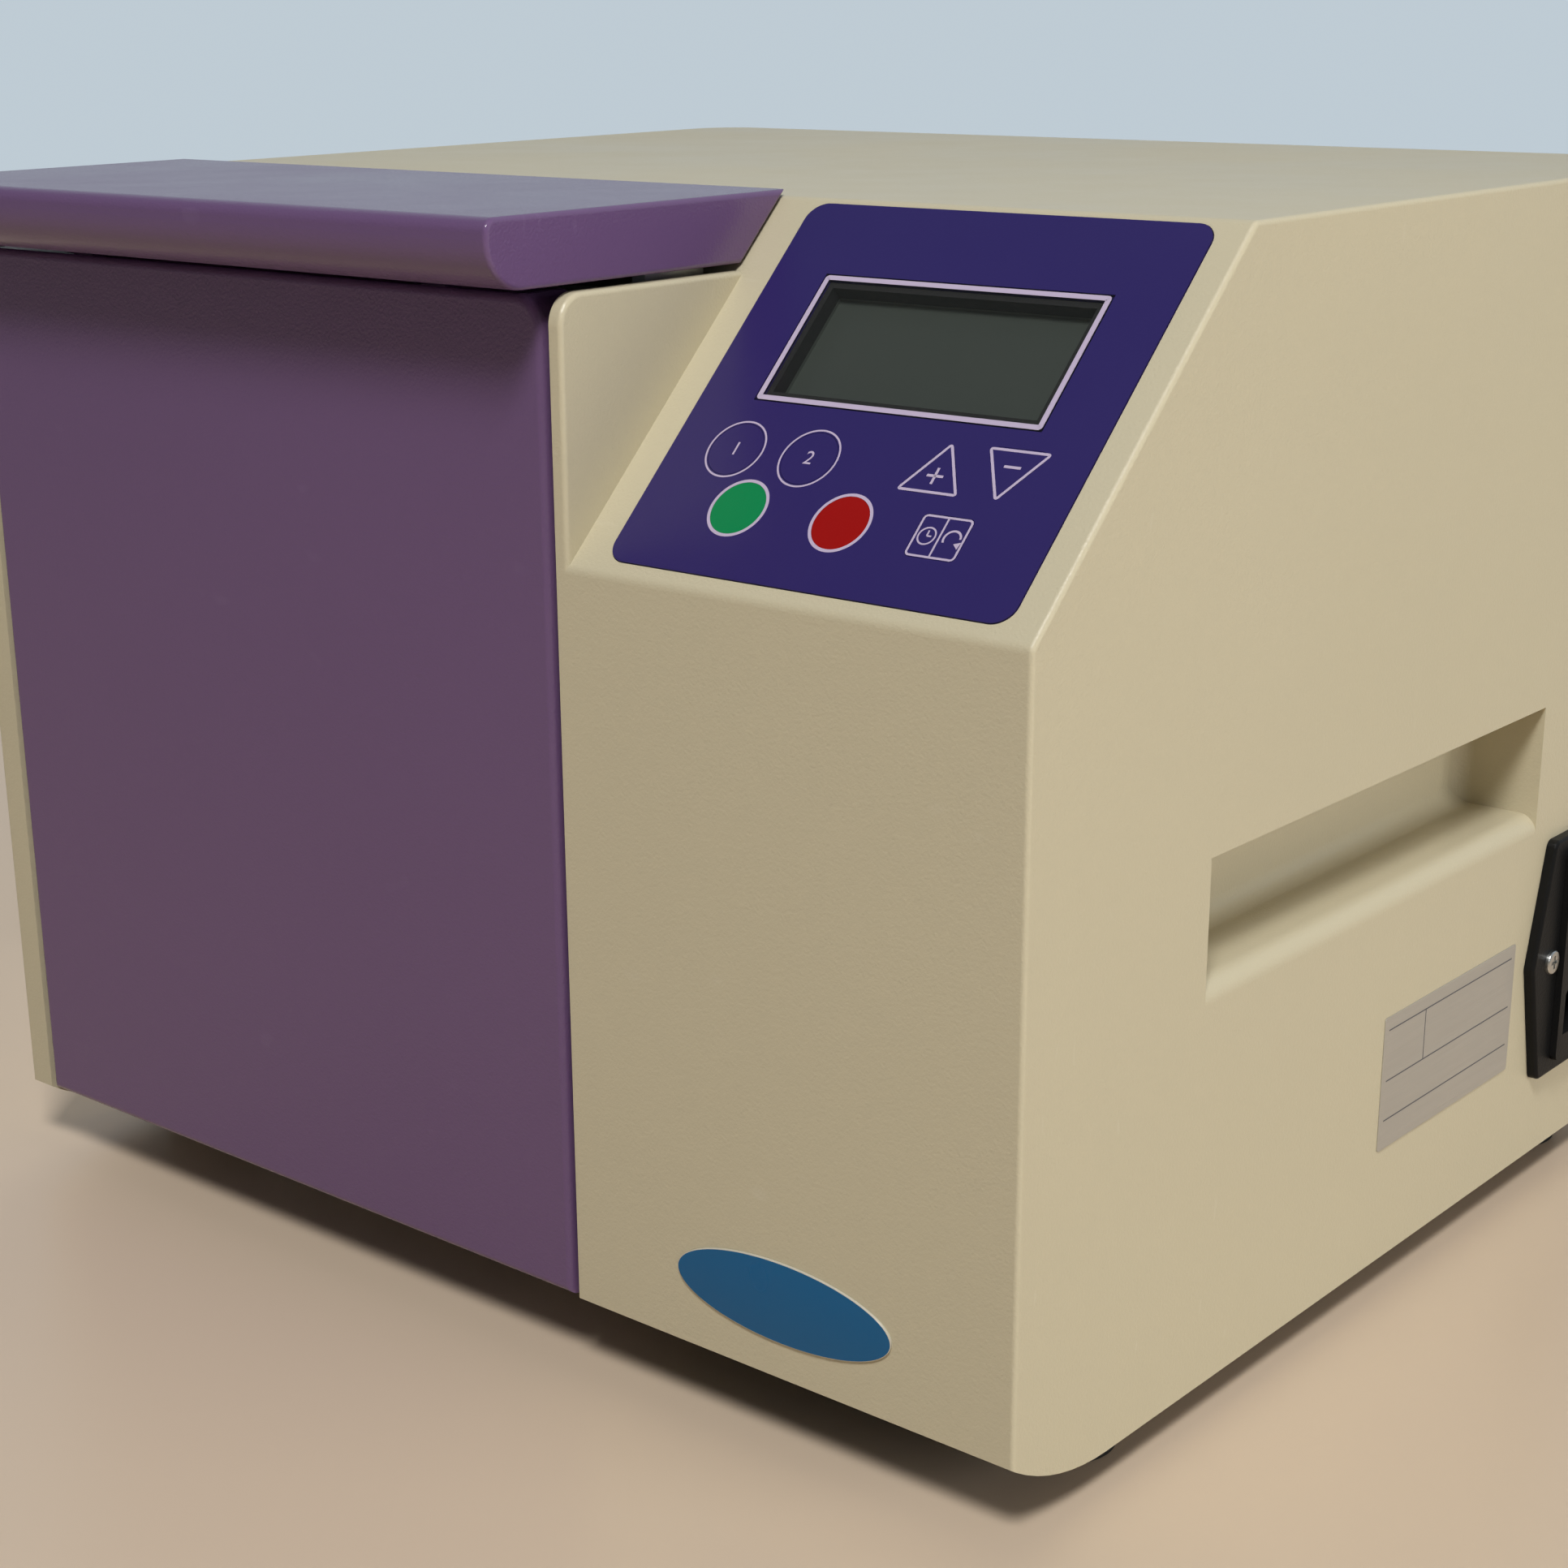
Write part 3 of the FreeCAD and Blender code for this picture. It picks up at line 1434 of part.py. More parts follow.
def across_box(x0, x1, width, z0, z1):
    """A block centred on the inlet's middle."""
    return box(x0, x1, inlet_y - width / 2, inlet_y + width / 2, z0, z1)


def socket_tool():
    """Mains socket recess with its two cut corners."""
    z = inlet_z - socket_low
    half_w = socket_width / 2
    half_h = socket_height / 2
    outline = [
        (inlet_y - half_w, z - half_h),
        (inlet_y + half_w, z - half_h),
        (inlet_y + half_w, z + half_h - socket_chamfer),
        (inlet_y + half_w - socket_chamfer, z + half_h),
        (inlet_y - half_w + socket_chamfer, z + half_h),
        (inlet_y - half_w, z + half_h - socket_chamfer),
    ]
    return side_prism(outline, [0] * 6, inlet_face_x - socket_depth, inlet_face_x + overrun)


def make_inlet():
    """Mains inlet, fuse drawer seat and switch seat in one moulding with a pointed flange."""
    z0 = inlet_z - inlet_flange_half_height
    z1 = inlet_z + inlet_flange_half_height
    w = inlet_flange_half_width
    f = inlet_flange_half_flat
    outline = [(inlet_y - f, z0), (inlet_y + f, z0), (inlet_y + w, inlet_z), (inlet_y + f, z1),
               (inlet_y - f, z1), (inlet_y - w, inlet_z)]
    corner = inlet_corner
    flange = side_prism(outline, [corner] * 6, right_x, right_x + inlet_flange_thickness)
    flange = fillet_where(flange, inlet_flange_thickness / 3,
                          lambda e: edge_at(e, 0, right_x + inlet_flange_thickness))
    half_h = inlet_bezel_height / 2
    bezel_outline = [(inlet_y - inlet_bezel_width / 2, inlet_z - half_h),
                     (inlet_y + inlet_bezel_width / 2, inlet_z - half_h),
                     (inlet_y + inlet_bezel_width / 2, inlet_z + half_h),
                     (inlet_y - inlet_bezel_width / 2, inlet_z + half_h)]
    bezel = side_prism(bezel_outline, [corner] * 4, right_x + inlet_flange_thickness / 2, inlet_face_x)
    body = across_box(right_x - inlet_body_depth, right_x + inlet_flange_thickness / 2, inlet_body_width,
                      inlet_z - inlet_body_height / 2, inlet_z + inlet_body_height / 2)
    module = fuse([flange, bezel, body])
    drawer_z = inlet_z + drawer_rise
    rocker_z = inlet_z + rocker_rise
    tools = [
        socket_tool(),
        across_box(inlet_face_x - drawer_depth - drawer_gap, inlet_face_x + overrun,
                   drawer_width + 2 * drawer_gap, drawer_z - drawer_height / 2 - drawer_gap,
                   drawer_z + drawer_height / 2 + drawer_gap),
        across_box(inlet_face_x - rocker_seat_depth, inlet_face_x + overrun,
                   rocker_width + 2 * drawer_gap, rocker_z - rocker_height / 2 - rocker_gap,
                   rocker_z + rocker_height / 2 + rocker_gap),
    ]
    tools += [rod_x(right_x - overrun, inlet_face_x, y, inlet_z, screw_radius + seat_fit)
              for y in inlet_screw_ys()]
    module = module.cut(tools)
    return fuse([module] + inlet_contacts())


def inlet_contacts():
    """Three flat contact blades in the socket."""
    floor_x = inlet_face_x - socket_depth
    z = inlet_z - socket_low
    blades = []
    for offset, rise in ((-contact_pitch, 0), (0, contact_earth_rise), (contact_pitch, 0)):
        y = inlet_y + offset
        blades.append(box(floor_x - overrun, floor_x + contact_length, y - contact_thickness / 2,
                          y + contact_thickness / 2, z + rise - contact_height / 2,
                          z + rise + contact_height / 2))
    return blades


def make_inlet_screws():
    face = right_x + inlet_flange_thickness
    return Part.makeCompound([
        screw(V(face, y, inlet_z), V(-1, 0, 0), inlet_flange_thickness + wall, screw_radius,
              inlet_screw_head, screw_head_height / 2)
        for y in inlet_screw_ys()
    ])


def make_fuse_drawer():
    """Fuse carrier with a finger lip."""
    z = inlet_z + drawer_rise
    body = across_box(inlet_face_x - drawer_depth, inlet_face_x, drawer_width, z - drawer_height / 2,
                      z + drawer_height / 2)
    bay = drawer_height - 2 * contact_thickness
    hollow = across_box(inlet_face_x - drawer_depth + contact_thickness, inlet_face_x - contact_height,
                        drawer_width - 2 * contact_thickness, z - bay / 2, z + drawer_height)
    notch = across_box(inlet_face_x - contact_thickness / 2, inlet_face_x + overrun, drawer_width / 3,
                       z - bay / 2, z + bay / 2)
    return body.cut([hollow, notch])


def make_rocker():
    """Switch rocker: two faces at a shallow angle, with a round pivot barrel and a tongue behind."""
    z = inlet_z + rocker_rise
    half = rocker_height / 2
    pivot = inlet_face_x - rocker_pivot_depth
    rise = rocker_proud
    outline = [
        (inlet_face_x + rise, z + half),
        (inlet_face_x - rise / 2, z),
        (inlet_face_x - rise / 2, z - half),
        (pivot - rocker_back, z - half),
        (pivot - rocker_back, z - rocker_tongue_width / 2),
        (pivot - rocker_tongue_depth, z - rocker_tongue_width / 2),
        (pivot - rocker_tongue_depth, z + rocker_tongue_width / 2),
        (pivot - rocker_back, z + rocker_tongue_width / 2),
        (pivot - rocker_back, z + half),
    ]
    y0 = inlet_y - rocker_width / 2
    y1 = inlet_y + rocker_width / 2
    points = [V(x, y0, height) for x, height in outline]
    body = prism(points, [rocker_corner, 0, rocker_corner, 0, 0, 0, 0, 0, 0], V(0, rocker_width, 0))
    barrel = rod_y(y0, y1, pivot, z, rocker_barrel_radius)
    below = box(pivot - rocker_barrel_radius, pivot, y0, y1, z - half, z + half)
    return fuse([body, barrel.common(below)])


def main():
    os.makedirs("parts", exist_ok=True)
    save(make_casing(), "casing")
    save(make_base_plate(), "base_plate")
    for (x, y), name in zip(foot_places(), ("left_front", "left_rear", "right_front", "right_rear")):
        save(make_foot(x, y), "foot_" + name)
    save(make_foot_screws(), "foot_screws")
    save(make_casing_screws(), "casing_screws")
    save(make_rear_panel(), "rear_panel")
    save(make_rear_screws(), "rear_panel_screws")
    save(make_door_panel(), "door_panel")
    save(make_inner_plate(), "door_inner_plate")
    save(make_plate_screws(), "door_plate_screws")
    save(make_hinge_brackets(), "hinge_brackets")
    save(make_hinge_pins(), "hinge_pins")
    save(make_door_handle(), "door_handle")
    save(make_pivot_pins(), "handle_pivot_pins")
    save(make_latch_hooks(), "latch_hooks")
    save(make_keepers(), "latch_keepers")
    save(make_magnet(), "door_magnet")
    save(make_sensor(), "interlock_sensor")
    save(make_chamber_liner(), "chamber_liner")
    save(make_rod_bushes(), "rod_bushes")
    save(make_rod_seals(), "rod_seals")
    save(make_bush_plate(), "bush_plate")
    sides = (("left", paddle_left_x), ("right", paddle_right_x))
    for name, x in sides:
        save(make_paddle(x), "paddle_" + name)
        save(make_push_rod(x), "push_rod_" + name)
        save(make_guide_rod(x), "guide_rod_" + name)
    save(make_crankshaft(), "crankshaft")
    save(make_crank_bearings(), "crank_bearings")
    save(make_bearing_plate(bearing_left_x), "bearing_plate_left")
    save(make_bearing_plate(bearing_right_x), "bearing_plate_right")
    for (name, _), (x, z) in zip(sides, eccentric_rows()):
        save(make_con_rod(x, z), "con_rod_" + name)
    save(pulley(pulley_x, crank_y, drive_z, driven_radius, pulley_hub_radius, shaft_radius + seat_fit),
         "driven_pulley")
    save(make_motor_pulley(), "motor_pulley")
    save(make_belt(), "drive_belt")
    save(make_motor(), "motor")
    save(make_motor_bracket(), "motor_bracket")
    save(make_motor_screws(), "motor_screws")
    save(make_overlay(), "control_overlay")
    keys = key_shapes(0, overlay_proud - key_thickness, overlay_proud)
    for name, shape in keys.items():
        save(on_slope(shape), name)
    save(make_window(), "display_window")
    save(make_lcd(), "lcd_module")
    save(make_lcd_gasket(), "lcd_gasket")
    save(make_control_board(), "control_board")
    save(make_power_board(), "power_board")
    save(make_inlet(), "inlet_module")
    save(make_inlet_screws(), "inlet_screws")
    save(make_fuse_drawer(), "fuse_drawer")
    save(make_rocker(), "rocker_switch")


main()
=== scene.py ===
"""Looks of the paddle blender: finishes, keypad print, bare badge and plate, screws, light and camera."""

import json
import logging
import math
from dataclasses import dataclass
from enum import Enum
from typing import Callable, Iterable

import bpy
from mathutils import Matrix, Vector


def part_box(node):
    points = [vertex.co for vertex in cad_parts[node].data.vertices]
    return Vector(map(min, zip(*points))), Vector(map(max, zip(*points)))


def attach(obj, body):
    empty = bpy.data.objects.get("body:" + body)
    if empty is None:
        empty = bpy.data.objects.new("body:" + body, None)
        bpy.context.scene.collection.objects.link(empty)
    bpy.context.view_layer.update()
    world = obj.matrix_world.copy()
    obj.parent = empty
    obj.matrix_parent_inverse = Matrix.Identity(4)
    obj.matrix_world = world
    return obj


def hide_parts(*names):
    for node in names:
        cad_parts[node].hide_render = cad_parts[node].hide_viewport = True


MM = 0.001
UPWARD = 0.9
TRIANGLE_WIDTH = math.sqrt(3)
TRIANGLE_HEIGHT = 1.5
Colour = tuple[float, float, float]
log = logging.getLogger("paddle_blender")

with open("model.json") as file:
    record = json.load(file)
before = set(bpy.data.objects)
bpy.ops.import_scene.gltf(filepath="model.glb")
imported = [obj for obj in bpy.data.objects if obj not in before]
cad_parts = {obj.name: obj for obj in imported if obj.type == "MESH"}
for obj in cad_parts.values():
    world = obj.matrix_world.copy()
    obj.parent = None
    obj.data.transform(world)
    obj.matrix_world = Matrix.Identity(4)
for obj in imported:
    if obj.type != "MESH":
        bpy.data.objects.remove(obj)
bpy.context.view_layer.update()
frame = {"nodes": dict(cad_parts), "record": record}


class Slot(Enum):
    """Names of some of the record's material slots; the script does not read this list."""

    CREAM = "cream_moulding"
    FILM = "film_key"
    ZINC = "zinc_screw"
    SHEET = "zinc_sheet"
    KEYPAD = "keypad_film"


class Facing(Enum):
    """Which way a flat piece looks once it is put on the machine, as the axes its X, Y and Z turn to."""

    FRONT = ((1, 0, 0), (0, 0, 1), (0, -1, 0))
    RIGHT = ((0, 1, 0), (0, 0, 1), (1, 0, 0))
    REAR = ((-1, 0, 0), (0, 0, 1), (0, 1, 0))
    DOWN = ((1, 0, 0), (0, -1, 0), (0, 0, -1))

    def turn(self) -> Matrix:
        """The rotation that brings a piece drawn flat to this side.

        Returns:
            The matrix of that rotation.
        """
        return Matrix(self.value).transposed().to_4x4()


def deselect() -> None:
    """Leave nothing selected, so that an operator touches only what is added next."""
    if bpy.context.object and bpy.context.object.mode != "OBJECT":
        bpy.ops.object.mode_set(mode="OBJECT")
    bpy.ops.object.select_all(action="DESELECT")


def pick(piece: bpy.types.Object) -> None:
    """Make one piece the only selected and active one.

    Args:
        piece: the object to pick.
    """
    deselect()
    piece.select_set(True)
    bpy.context.view_layer.objects.active = piece


def select_faces(piece: bpy.types.Object, test: Callable[[bpy.types.MeshPolygon], bool]) -> None:
    """Open a piece in face mode with the faces chosen that a test picks out.

    Args:
        piece: the mesh object to edit.
        test: says for each face whether it is wanted.
    """
    pick(piece)
    bpy.ops.object.mode_set(mode="EDIT")
    bpy.ops.mesh.select_mode(type="FACE")
    bpy.ops.mesh.select_all(action="DESELECT")
    bpy.ops.object.mode_set(mode="OBJECT")
    for face in piece.data.polygons:
        face.select = test(face)
    bpy.ops.object.mode_set(mode="EDIT")


def leave_edit() -> None:
    """Go back to object mode."""
    bpy.ops.object.mode_set(mode="OBJECT")


def apply_modifier(piece: bpy.types.Object, kind: str, **settings: object) -> None:
    """Add a modifier with its settings and apply it at once.

    Args:
        piece: the mesh object that takes it.
        kind: Blender's name for the modifier type.
        settings: values set on the modifier.
    """
    pick(piece)
    modifier = piece.modifiers.new(kind.title(), kind)
    for name, value in settings.items():
        setattr(modifier, name, value)
    bpy.ops.object.modifier_apply(modifier=modifier.name)


def put(piece: bpy.types.Object, place: Matrix) -> bpy.types.Object:
    """Move a piece's mesh to its place, so that its object stays at the origin.

    Args:
        piece: the mesh object, drawn flat or at the origin.
        place: where it goes.

    Returns:
        The same object, at the origin, with its place in its mesh.
    """
    piece.data.transform(place @ piece.matrix_world)
    piece.matrix_world = Matrix.Identity(4)
    piece.data.update()
    return piece


def join(pieces: Iterable[bpy.types.Object], name: str) -> bpy.types.Object:
    """Join meshes into one named piece.

    Args:
        pieces: the mesh objects, at least one.
        name: the joined piece's name.

    Returns:
        The joined object.
    """
    parts = list(pieces)
    deselect()
    for part in parts:
        part.select_set(True)
    bpy.context.view_layer.objects.active = parts[0]
    if len(parts) > 1:
        bpy.ops.object.join()
    whole = bpy.context.view_layer.objects.active
    whole.name = name
    whole.data.name = name
    return whole


def finish_piece(piece: bpy.types.Object, body: str, material: bpy.types.Material) -> None:
    """Give a new piece its material and the body it rides on, and report it.

    Args:
        piece: the finished mesh object.
        body: the CAD body it moves with.
        material: its material, where it has none yet.
    """
    if not piece.data.materials:
        piece.data.materials.append(material)
    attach(piece, body)
    log.info("%s: %d faces on body %s", piece.name, len(piece.data.polygons), body)


class Tree:
    """A node tree that is written in few words."""

    def __init__(self, tree: bpy.types.NodeTree) -> None:
        """Keep the tree and empty it.

        Args:
            tree: the material's, world's or group's node tree.
        """
        self.tree = tree
        self.tree.nodes.clear()

    def add(self, kind: str, **values: object) -> bpy.types.Node:
        """Add a node and set its properties, or its inputs where the name is one of theirs.

        Args:
            kind: the node type without its ShaderNode prefix, or in full.
            values: properties and input values; an underscore in a name stands for a space.

        Returns:
            The new node.
        """
        full = kind if kind.startswith("Node") else "ShaderNode" + kind
        node = self.tree.nodes.new(full)
        for name, value in values.items():
            if hasattr(node, name):
                setattr(node, name, value)
            else:
                node.inputs[name.replace("_", " ")].default_value = value
        return node

    def link(self, output: bpy.types.NodeSocket, target: bpy.types.NodeSocket) -> None:
        """Join an output to an input.

        Args:
            output: the socket that gives.
            target: the socket that takes.
        """
        self.tree.links.new(output, target)

    def math(self, operation: str, first: object, second: object = 0.0,
             clamp: bool = False) -> bpy.types.NodeSocket:
        """A Math node whose inputs are sockets or numbers.

        Args:
            operation: Blender's name for the sum.
            first: its first input.
            second: its second input.
            clamp: whether the result stays from 0 to 1.

        Returns:
            The result's socket.
        """
        node = self.add("Math", operation=operation, use_clamp=clamp)
        for index, value in enumerate((first, second)):
            if isinstance(value, bpy.types.NodeSocket):
                self.link(value, node.inputs[index])
            else:
                node.inputs[index].default_value = value
        return node.outputs[0]

    def blend(self, share: object, first: object, second: object) -> bpy.types.NodeSocket:
        """A colour mix whose share and ends are sockets or values.

        Args:
            share: how much of the second colour shows.
            first: colour at 0.
            second: colour at 1.

        Returns:
            The mixed colour's socket.
        """
        node = self.add("Mix", data_type="RGBA")
        for index, value in ((0, share), (6, first), (7, second)):
            if isinstance(value, bpy.types.NodeSocket):
                self.link(value, node.inputs[index])
            else:
                node.inputs[index].default_value = value if index == 0 else (*value[:3], 1.0)
        return node.outputs[2]


class SharedEffects:
    """Node groups that several finishes use, each built once."""

    def __init__(self) -> None:
        """Build every group."""
        self.grain = self.build_grain()
        self.wear = self.build_wear()
        self.smudge = self.build_smudge()
        self.dust = self.build_dust()
        self.brushed = self.build_brushed()

    @staticmethod
    def new_group(name: str, inputs: dict[str, str], outputs: dict[str, str]) -> Tree:
        """Start a group with named sockets.

        Args:
            name: the group's name.
            inputs: socket types by input name.
            outputs: socket types by output name.

        Returns:
            The empty tree.
        """
        group = bpy.data.node_groups.new(name, "ShaderNodeTree")
        for label, kind in inputs.items():
            group.interface.new_socket(name=label, in_out="INPUT", socket_type="NodeSocket" + kind)
        for label, kind in outputs.items():
            group.interface.new_socket(name=label, in_out="OUTPUT", socket_type="NodeSocket" + kind)
        return Tree(group)

    def build_grain(self) -> bpy.types.NodeTree:
        """Fine moulded texture and the slow drift of colour under it.

        Returns:
            The group's tree.
        """
        tree = self.new_group("MouldedGrain", {"Scale": "Float", "Drift Scale": "Float"},
                              {"Height": "Float", "Drift": "Float"})
        given = tree.add("NodeGroupInput")
        place = tree.add("TexCoord").outputs["Object"]
        fine = tree.add("TexNoise", Detail=1.0, Roughness=0.6)
        drift = tree.add("TexNoise", Detail=3.0, Roughness=0.55)
        for node in (fine, drift):
            tree.link(place, node.inputs["Vector"])
        tree.link(given.outputs["Scale"], fine.inputs["Scale"])
        tree.link(given.outputs["Drift Scale"], drift.inputs["Scale"])
        end = tree.add("NodeGroupOutput")
        tree.link(fine.outputs["Fac"], end.inputs["Height"])
        tree.link(drift.outputs["Fac"], end.inputs["Drift"])
        return tree.tree

    def build_wear(self) -> bpy.types.NodeTree:
        """Small sparse scuffs that are paler than the surface.

        Returns:
            The group's tree.
        """
        tree = self.new_group("FineScuffs", {"Colour": "Color", "Worn Colour": "Color", "Amount": "Float"},
                              {"Colour": "Color", "Mask": "Float"})
        given = tree.add("NodeGroupInput")
        place = tree.add("TexCoord").outputs["Object"]
        mapping = tree.add("Mapping", Rotation=(0.4, 0.7, 0.2), Scale=(1.0, 6.0, 1.5))
        tree.link(place, mapping.inputs["Vector"])
        scuff = tree.add("TexNoise", Scale=70.0, Detail=1.0)
        tree.link(mapping.outputs["Vector"], scuff.inputs["Vector"])
        sparse = tree.add("MapRange", From_Min=0.74, From_Max=0.8)
        tree.link(scuff.outputs["Fac"], sparse.inputs["Value"])
        patch = tree.add("TexNoise", Scale=8.0, Detail=1.0)
        tree.link(place, patch.inputs["Vector"])
        mask = tree.math("MULTIPLY", sparse.outputs["Result"], patch.outputs["Fac"])
        mask = tree.math("MULTIPLY", mask, given.outputs["Amount"], clamp=True)
        scuffed = tree.blend(mask, given.outputs["Colour"], given.outputs["Worn Colour"])
        end = tree.add("NodeGroupOutput")
        tree.link(scuffed, end.inputs["Colour"])
        tree.link(mask, end.inputs["Mask"])
        return tree.tree

    def build_smudge(self) -> bpy.types.NodeTree:
        """Roughness that drifts where hands have wiped the surface.

        Returns:
            The group's tree.
        """
        tree = self.new_group("HandSmudge", {"Scale": "Float", "Low": "Float", "High": "Float"},
                              {"Roughness": "Float"})
        given = tree.add("NodeGroupInput")
        cloud = tree.add("TexNoise", Detail=3.0, Roughness=0.65)
        tree.link(tree.add("TexCoord").outputs["Object"], cloud.inputs["Vector"])
        tree.link(given.outputs["Scale"], cloud.inputs["Scale"])
        spread = tree.add("MapRange", From_Min=0.35, From_Max=0.68)
        tree.link(cloud.outputs["Fac"], spread.inputs["Value"])
        tree.link(given.outputs["Low"], spread.inputs["To Min"])
        tree.link(given.outputs["High"], spread.inputs["To Max"])
        end = tree.add("NodeGroupOutput")
        tree.link(spread.outputs["Result"], end.inputs["Roughness"])
        return tree.tree

    def build_dust(self) -> bpy.types.NodeTree:
        """Thin dust on what faces up.

        Returns:
            The group's tree.
        """
        tree = self.new_group("SettledDust", {"Colour": "Color", "Dust Colour": "Color", "Amount": "Float"},
                              {"Colour": "Color"})
        given = tree.add("NodeGroupInput")
        split = tree.add("SeparateXYZ")
        tree.link(tree.add("NewGeometry").outputs["Normal"], split.inputs[0])
        upward = tree.add("MapRange", From_Min=0.4, From_Max=1.0)
        tree.link(split.outputs["Z"], upward.inputs["Value"])
        speck = tree.add("TexNoise", Scale=60.0, Detail=3.0, Roughness=0.7)
        tree.link(tree.add("TexCoord").outputs["Object"], speck.inputs["Vector"])
        share = tree.math("MULTIPLY", upward.outputs["Result"], speck.outputs["Fac"])
        share = tree.math("MULTIPLY", share, given.outputs["Amount"], clamp=True)
        dusty = tree.blend(share, given.outputs["Colour"], given.outputs["Dust Colour"])
        end = tree.add("NodeGroupOutput")
        tree.link(dusty, end.inputs["Colour"])
        return tree.tree

    def build_brushed(self) -> bpy.types.NodeTree:
        """Fine parallel lines of brushed or rolled metal.

        Returns:
            The group's tree.
        """
        tree = self.new_group("BrushedLines", {"Scale": "Float", "Stretch": "Vector"},
                              {"Height": "Float", "Tone": "Float"})
        given = tree.add("NodeGroupInput")
        mapping = tree.add("Mapping")
        tree.link(tree.add("TexCoord").outputs["Object"], mapping.inputs["Vector"])
        tree.link(given.outputs["Stretch"], mapping.inputs["Scale"])
        lines = tree.add("TexNoise", Detail=3.0, Roughness=0.7)
        tree.link(mapping.outputs["Vector"], lines.inputs["Vector"])
        tree.link(given.outputs["Scale"], lines.inputs["Scale"])
        end = tree.add("NodeGroupOutput")
        tree.link(lines.outputs["Fac"], end.inputs["Height"])
        tree.link(lines.outputs["Fac"], end.inputs["Tone"])
        return tree.tree


@dataclass(frozen=True)
class Finish:
    """How one material looks: colour, gloss, surface texture and age."""

    colour: Colour
    roughness: tuple[float, float]
    metallic: float = 0.0
    grain_scale: float = 1400.0
    grain_depth: float = 0.06
    grain_strength: float = 4.0
    grain_height: float = 0.4 * MM
    drift: float = 0.06
    drift_scale: float = 9.0
    wear: float = 0.25
    worn_colour: Colour = (0.9, 0.88, 0.82)
    dust: float = 0.05
    dust_colour: Colour = (0.62, 0.6, 0.56)
    smudge_scale: float = 14.0
    coat: float = 0.0
    coat_roughness: float = 0.12
    shine: float = 0.5
    brushed: tuple[float, float, float] | None = None
    brushed_scale: float = 12.0
    alpha: float = 1.0

    def build(self, name: str, effects: SharedEffects) -> bpy.types.Material:
        """Make the material.

        Args:
            name: the material's name.
            effects: the shared node groups.

        Returns:
            The material.
        """
        material = bpy.data.materials.new(name)
        material.use_nodes = True
        tree = Tree(material.node_tree)
        shader = tree.add("BsdfPrincipled", Metallic=self.metallic)
        shader.inputs["Specular IOR Level"].default_value = self.shine
        shader.inputs["Coat Weight"].default_value = self.coat
        shader.inputs["Coat Roughness"].default_value = self.coat_roughness
        shader.inputs["Alpha"].default_value = self.alpha
        grain = tree.add("Group", node_tree=effects.grain)
        grain.inputs["Scale"].default_value = self.grain_scale
        grain.inputs["Drift Scale"].default_value = self.drift_scale
        darker = tuple(c * (1 - self.drift) for c in self.colour)
        lighter = tuple(min(1.0, c * (1 + self.drift)) for c in self.colour)
        colour = tree.blend(grain.outputs["Drift"], darker, lighter)
        height = grain.outputs["Height"]
        if self.brushed:
            lines = tree.add("Group", node_tree=effects.brushed)
            lines.inputs["Scale"].default_value = self.brushed_scale
            lines.inputs["Stretch"].default_value = self.brushed
            colour = tree.blend(lines.outputs["Tone"], darker, lighter)
            height = lines.outputs["Height"]
        dust = tree.add("Group", node_tree=effects.dust)
        dust.inputs["Dust Colour"].default_value = (*self.dust_colour, 1.0)
        dust.inputs["Amount"].default_value = self.dust
        tree.link(colour, dust.inputs["Colour"])
        wear = tree.add("Group", node_tree=effects.wear)
        wear.inputs["Worn Colour"].default_value = (*self.worn_colour, 1.0)
        wear.inputs["Amount"].default_value = self.wear
        tree.link(dust.outputs["Colour"], wear.inputs["Colour"])
        tree.link(wear.outputs["Colour"], shader.inputs["Base Color"])
        smudge = tree.add("Group", node_tree=effects.smudge)
        smudge.inputs["Scale"].default_value = self.smudge_scale
        smudge.inputs["Low"].default_value = self.roughness[0]
        smudge.inputs["High"].default_value = self.roughness[1]
        tree.link(smudge.outputs["Roughness"], shader.inputs["Roughness"])
        bump = tree.add("Bump", Strength=self.grain_depth * self.grain_strength, Distance=self.grain_height)
        tree.link(height, bump.inputs["Height"])
        tree.link(bump.outputs["Normal"], shader.inputs["Normal"])
        tree.link(shader.outputs[0], tree.add("OutputMaterial").inputs["Surface"])
        return material


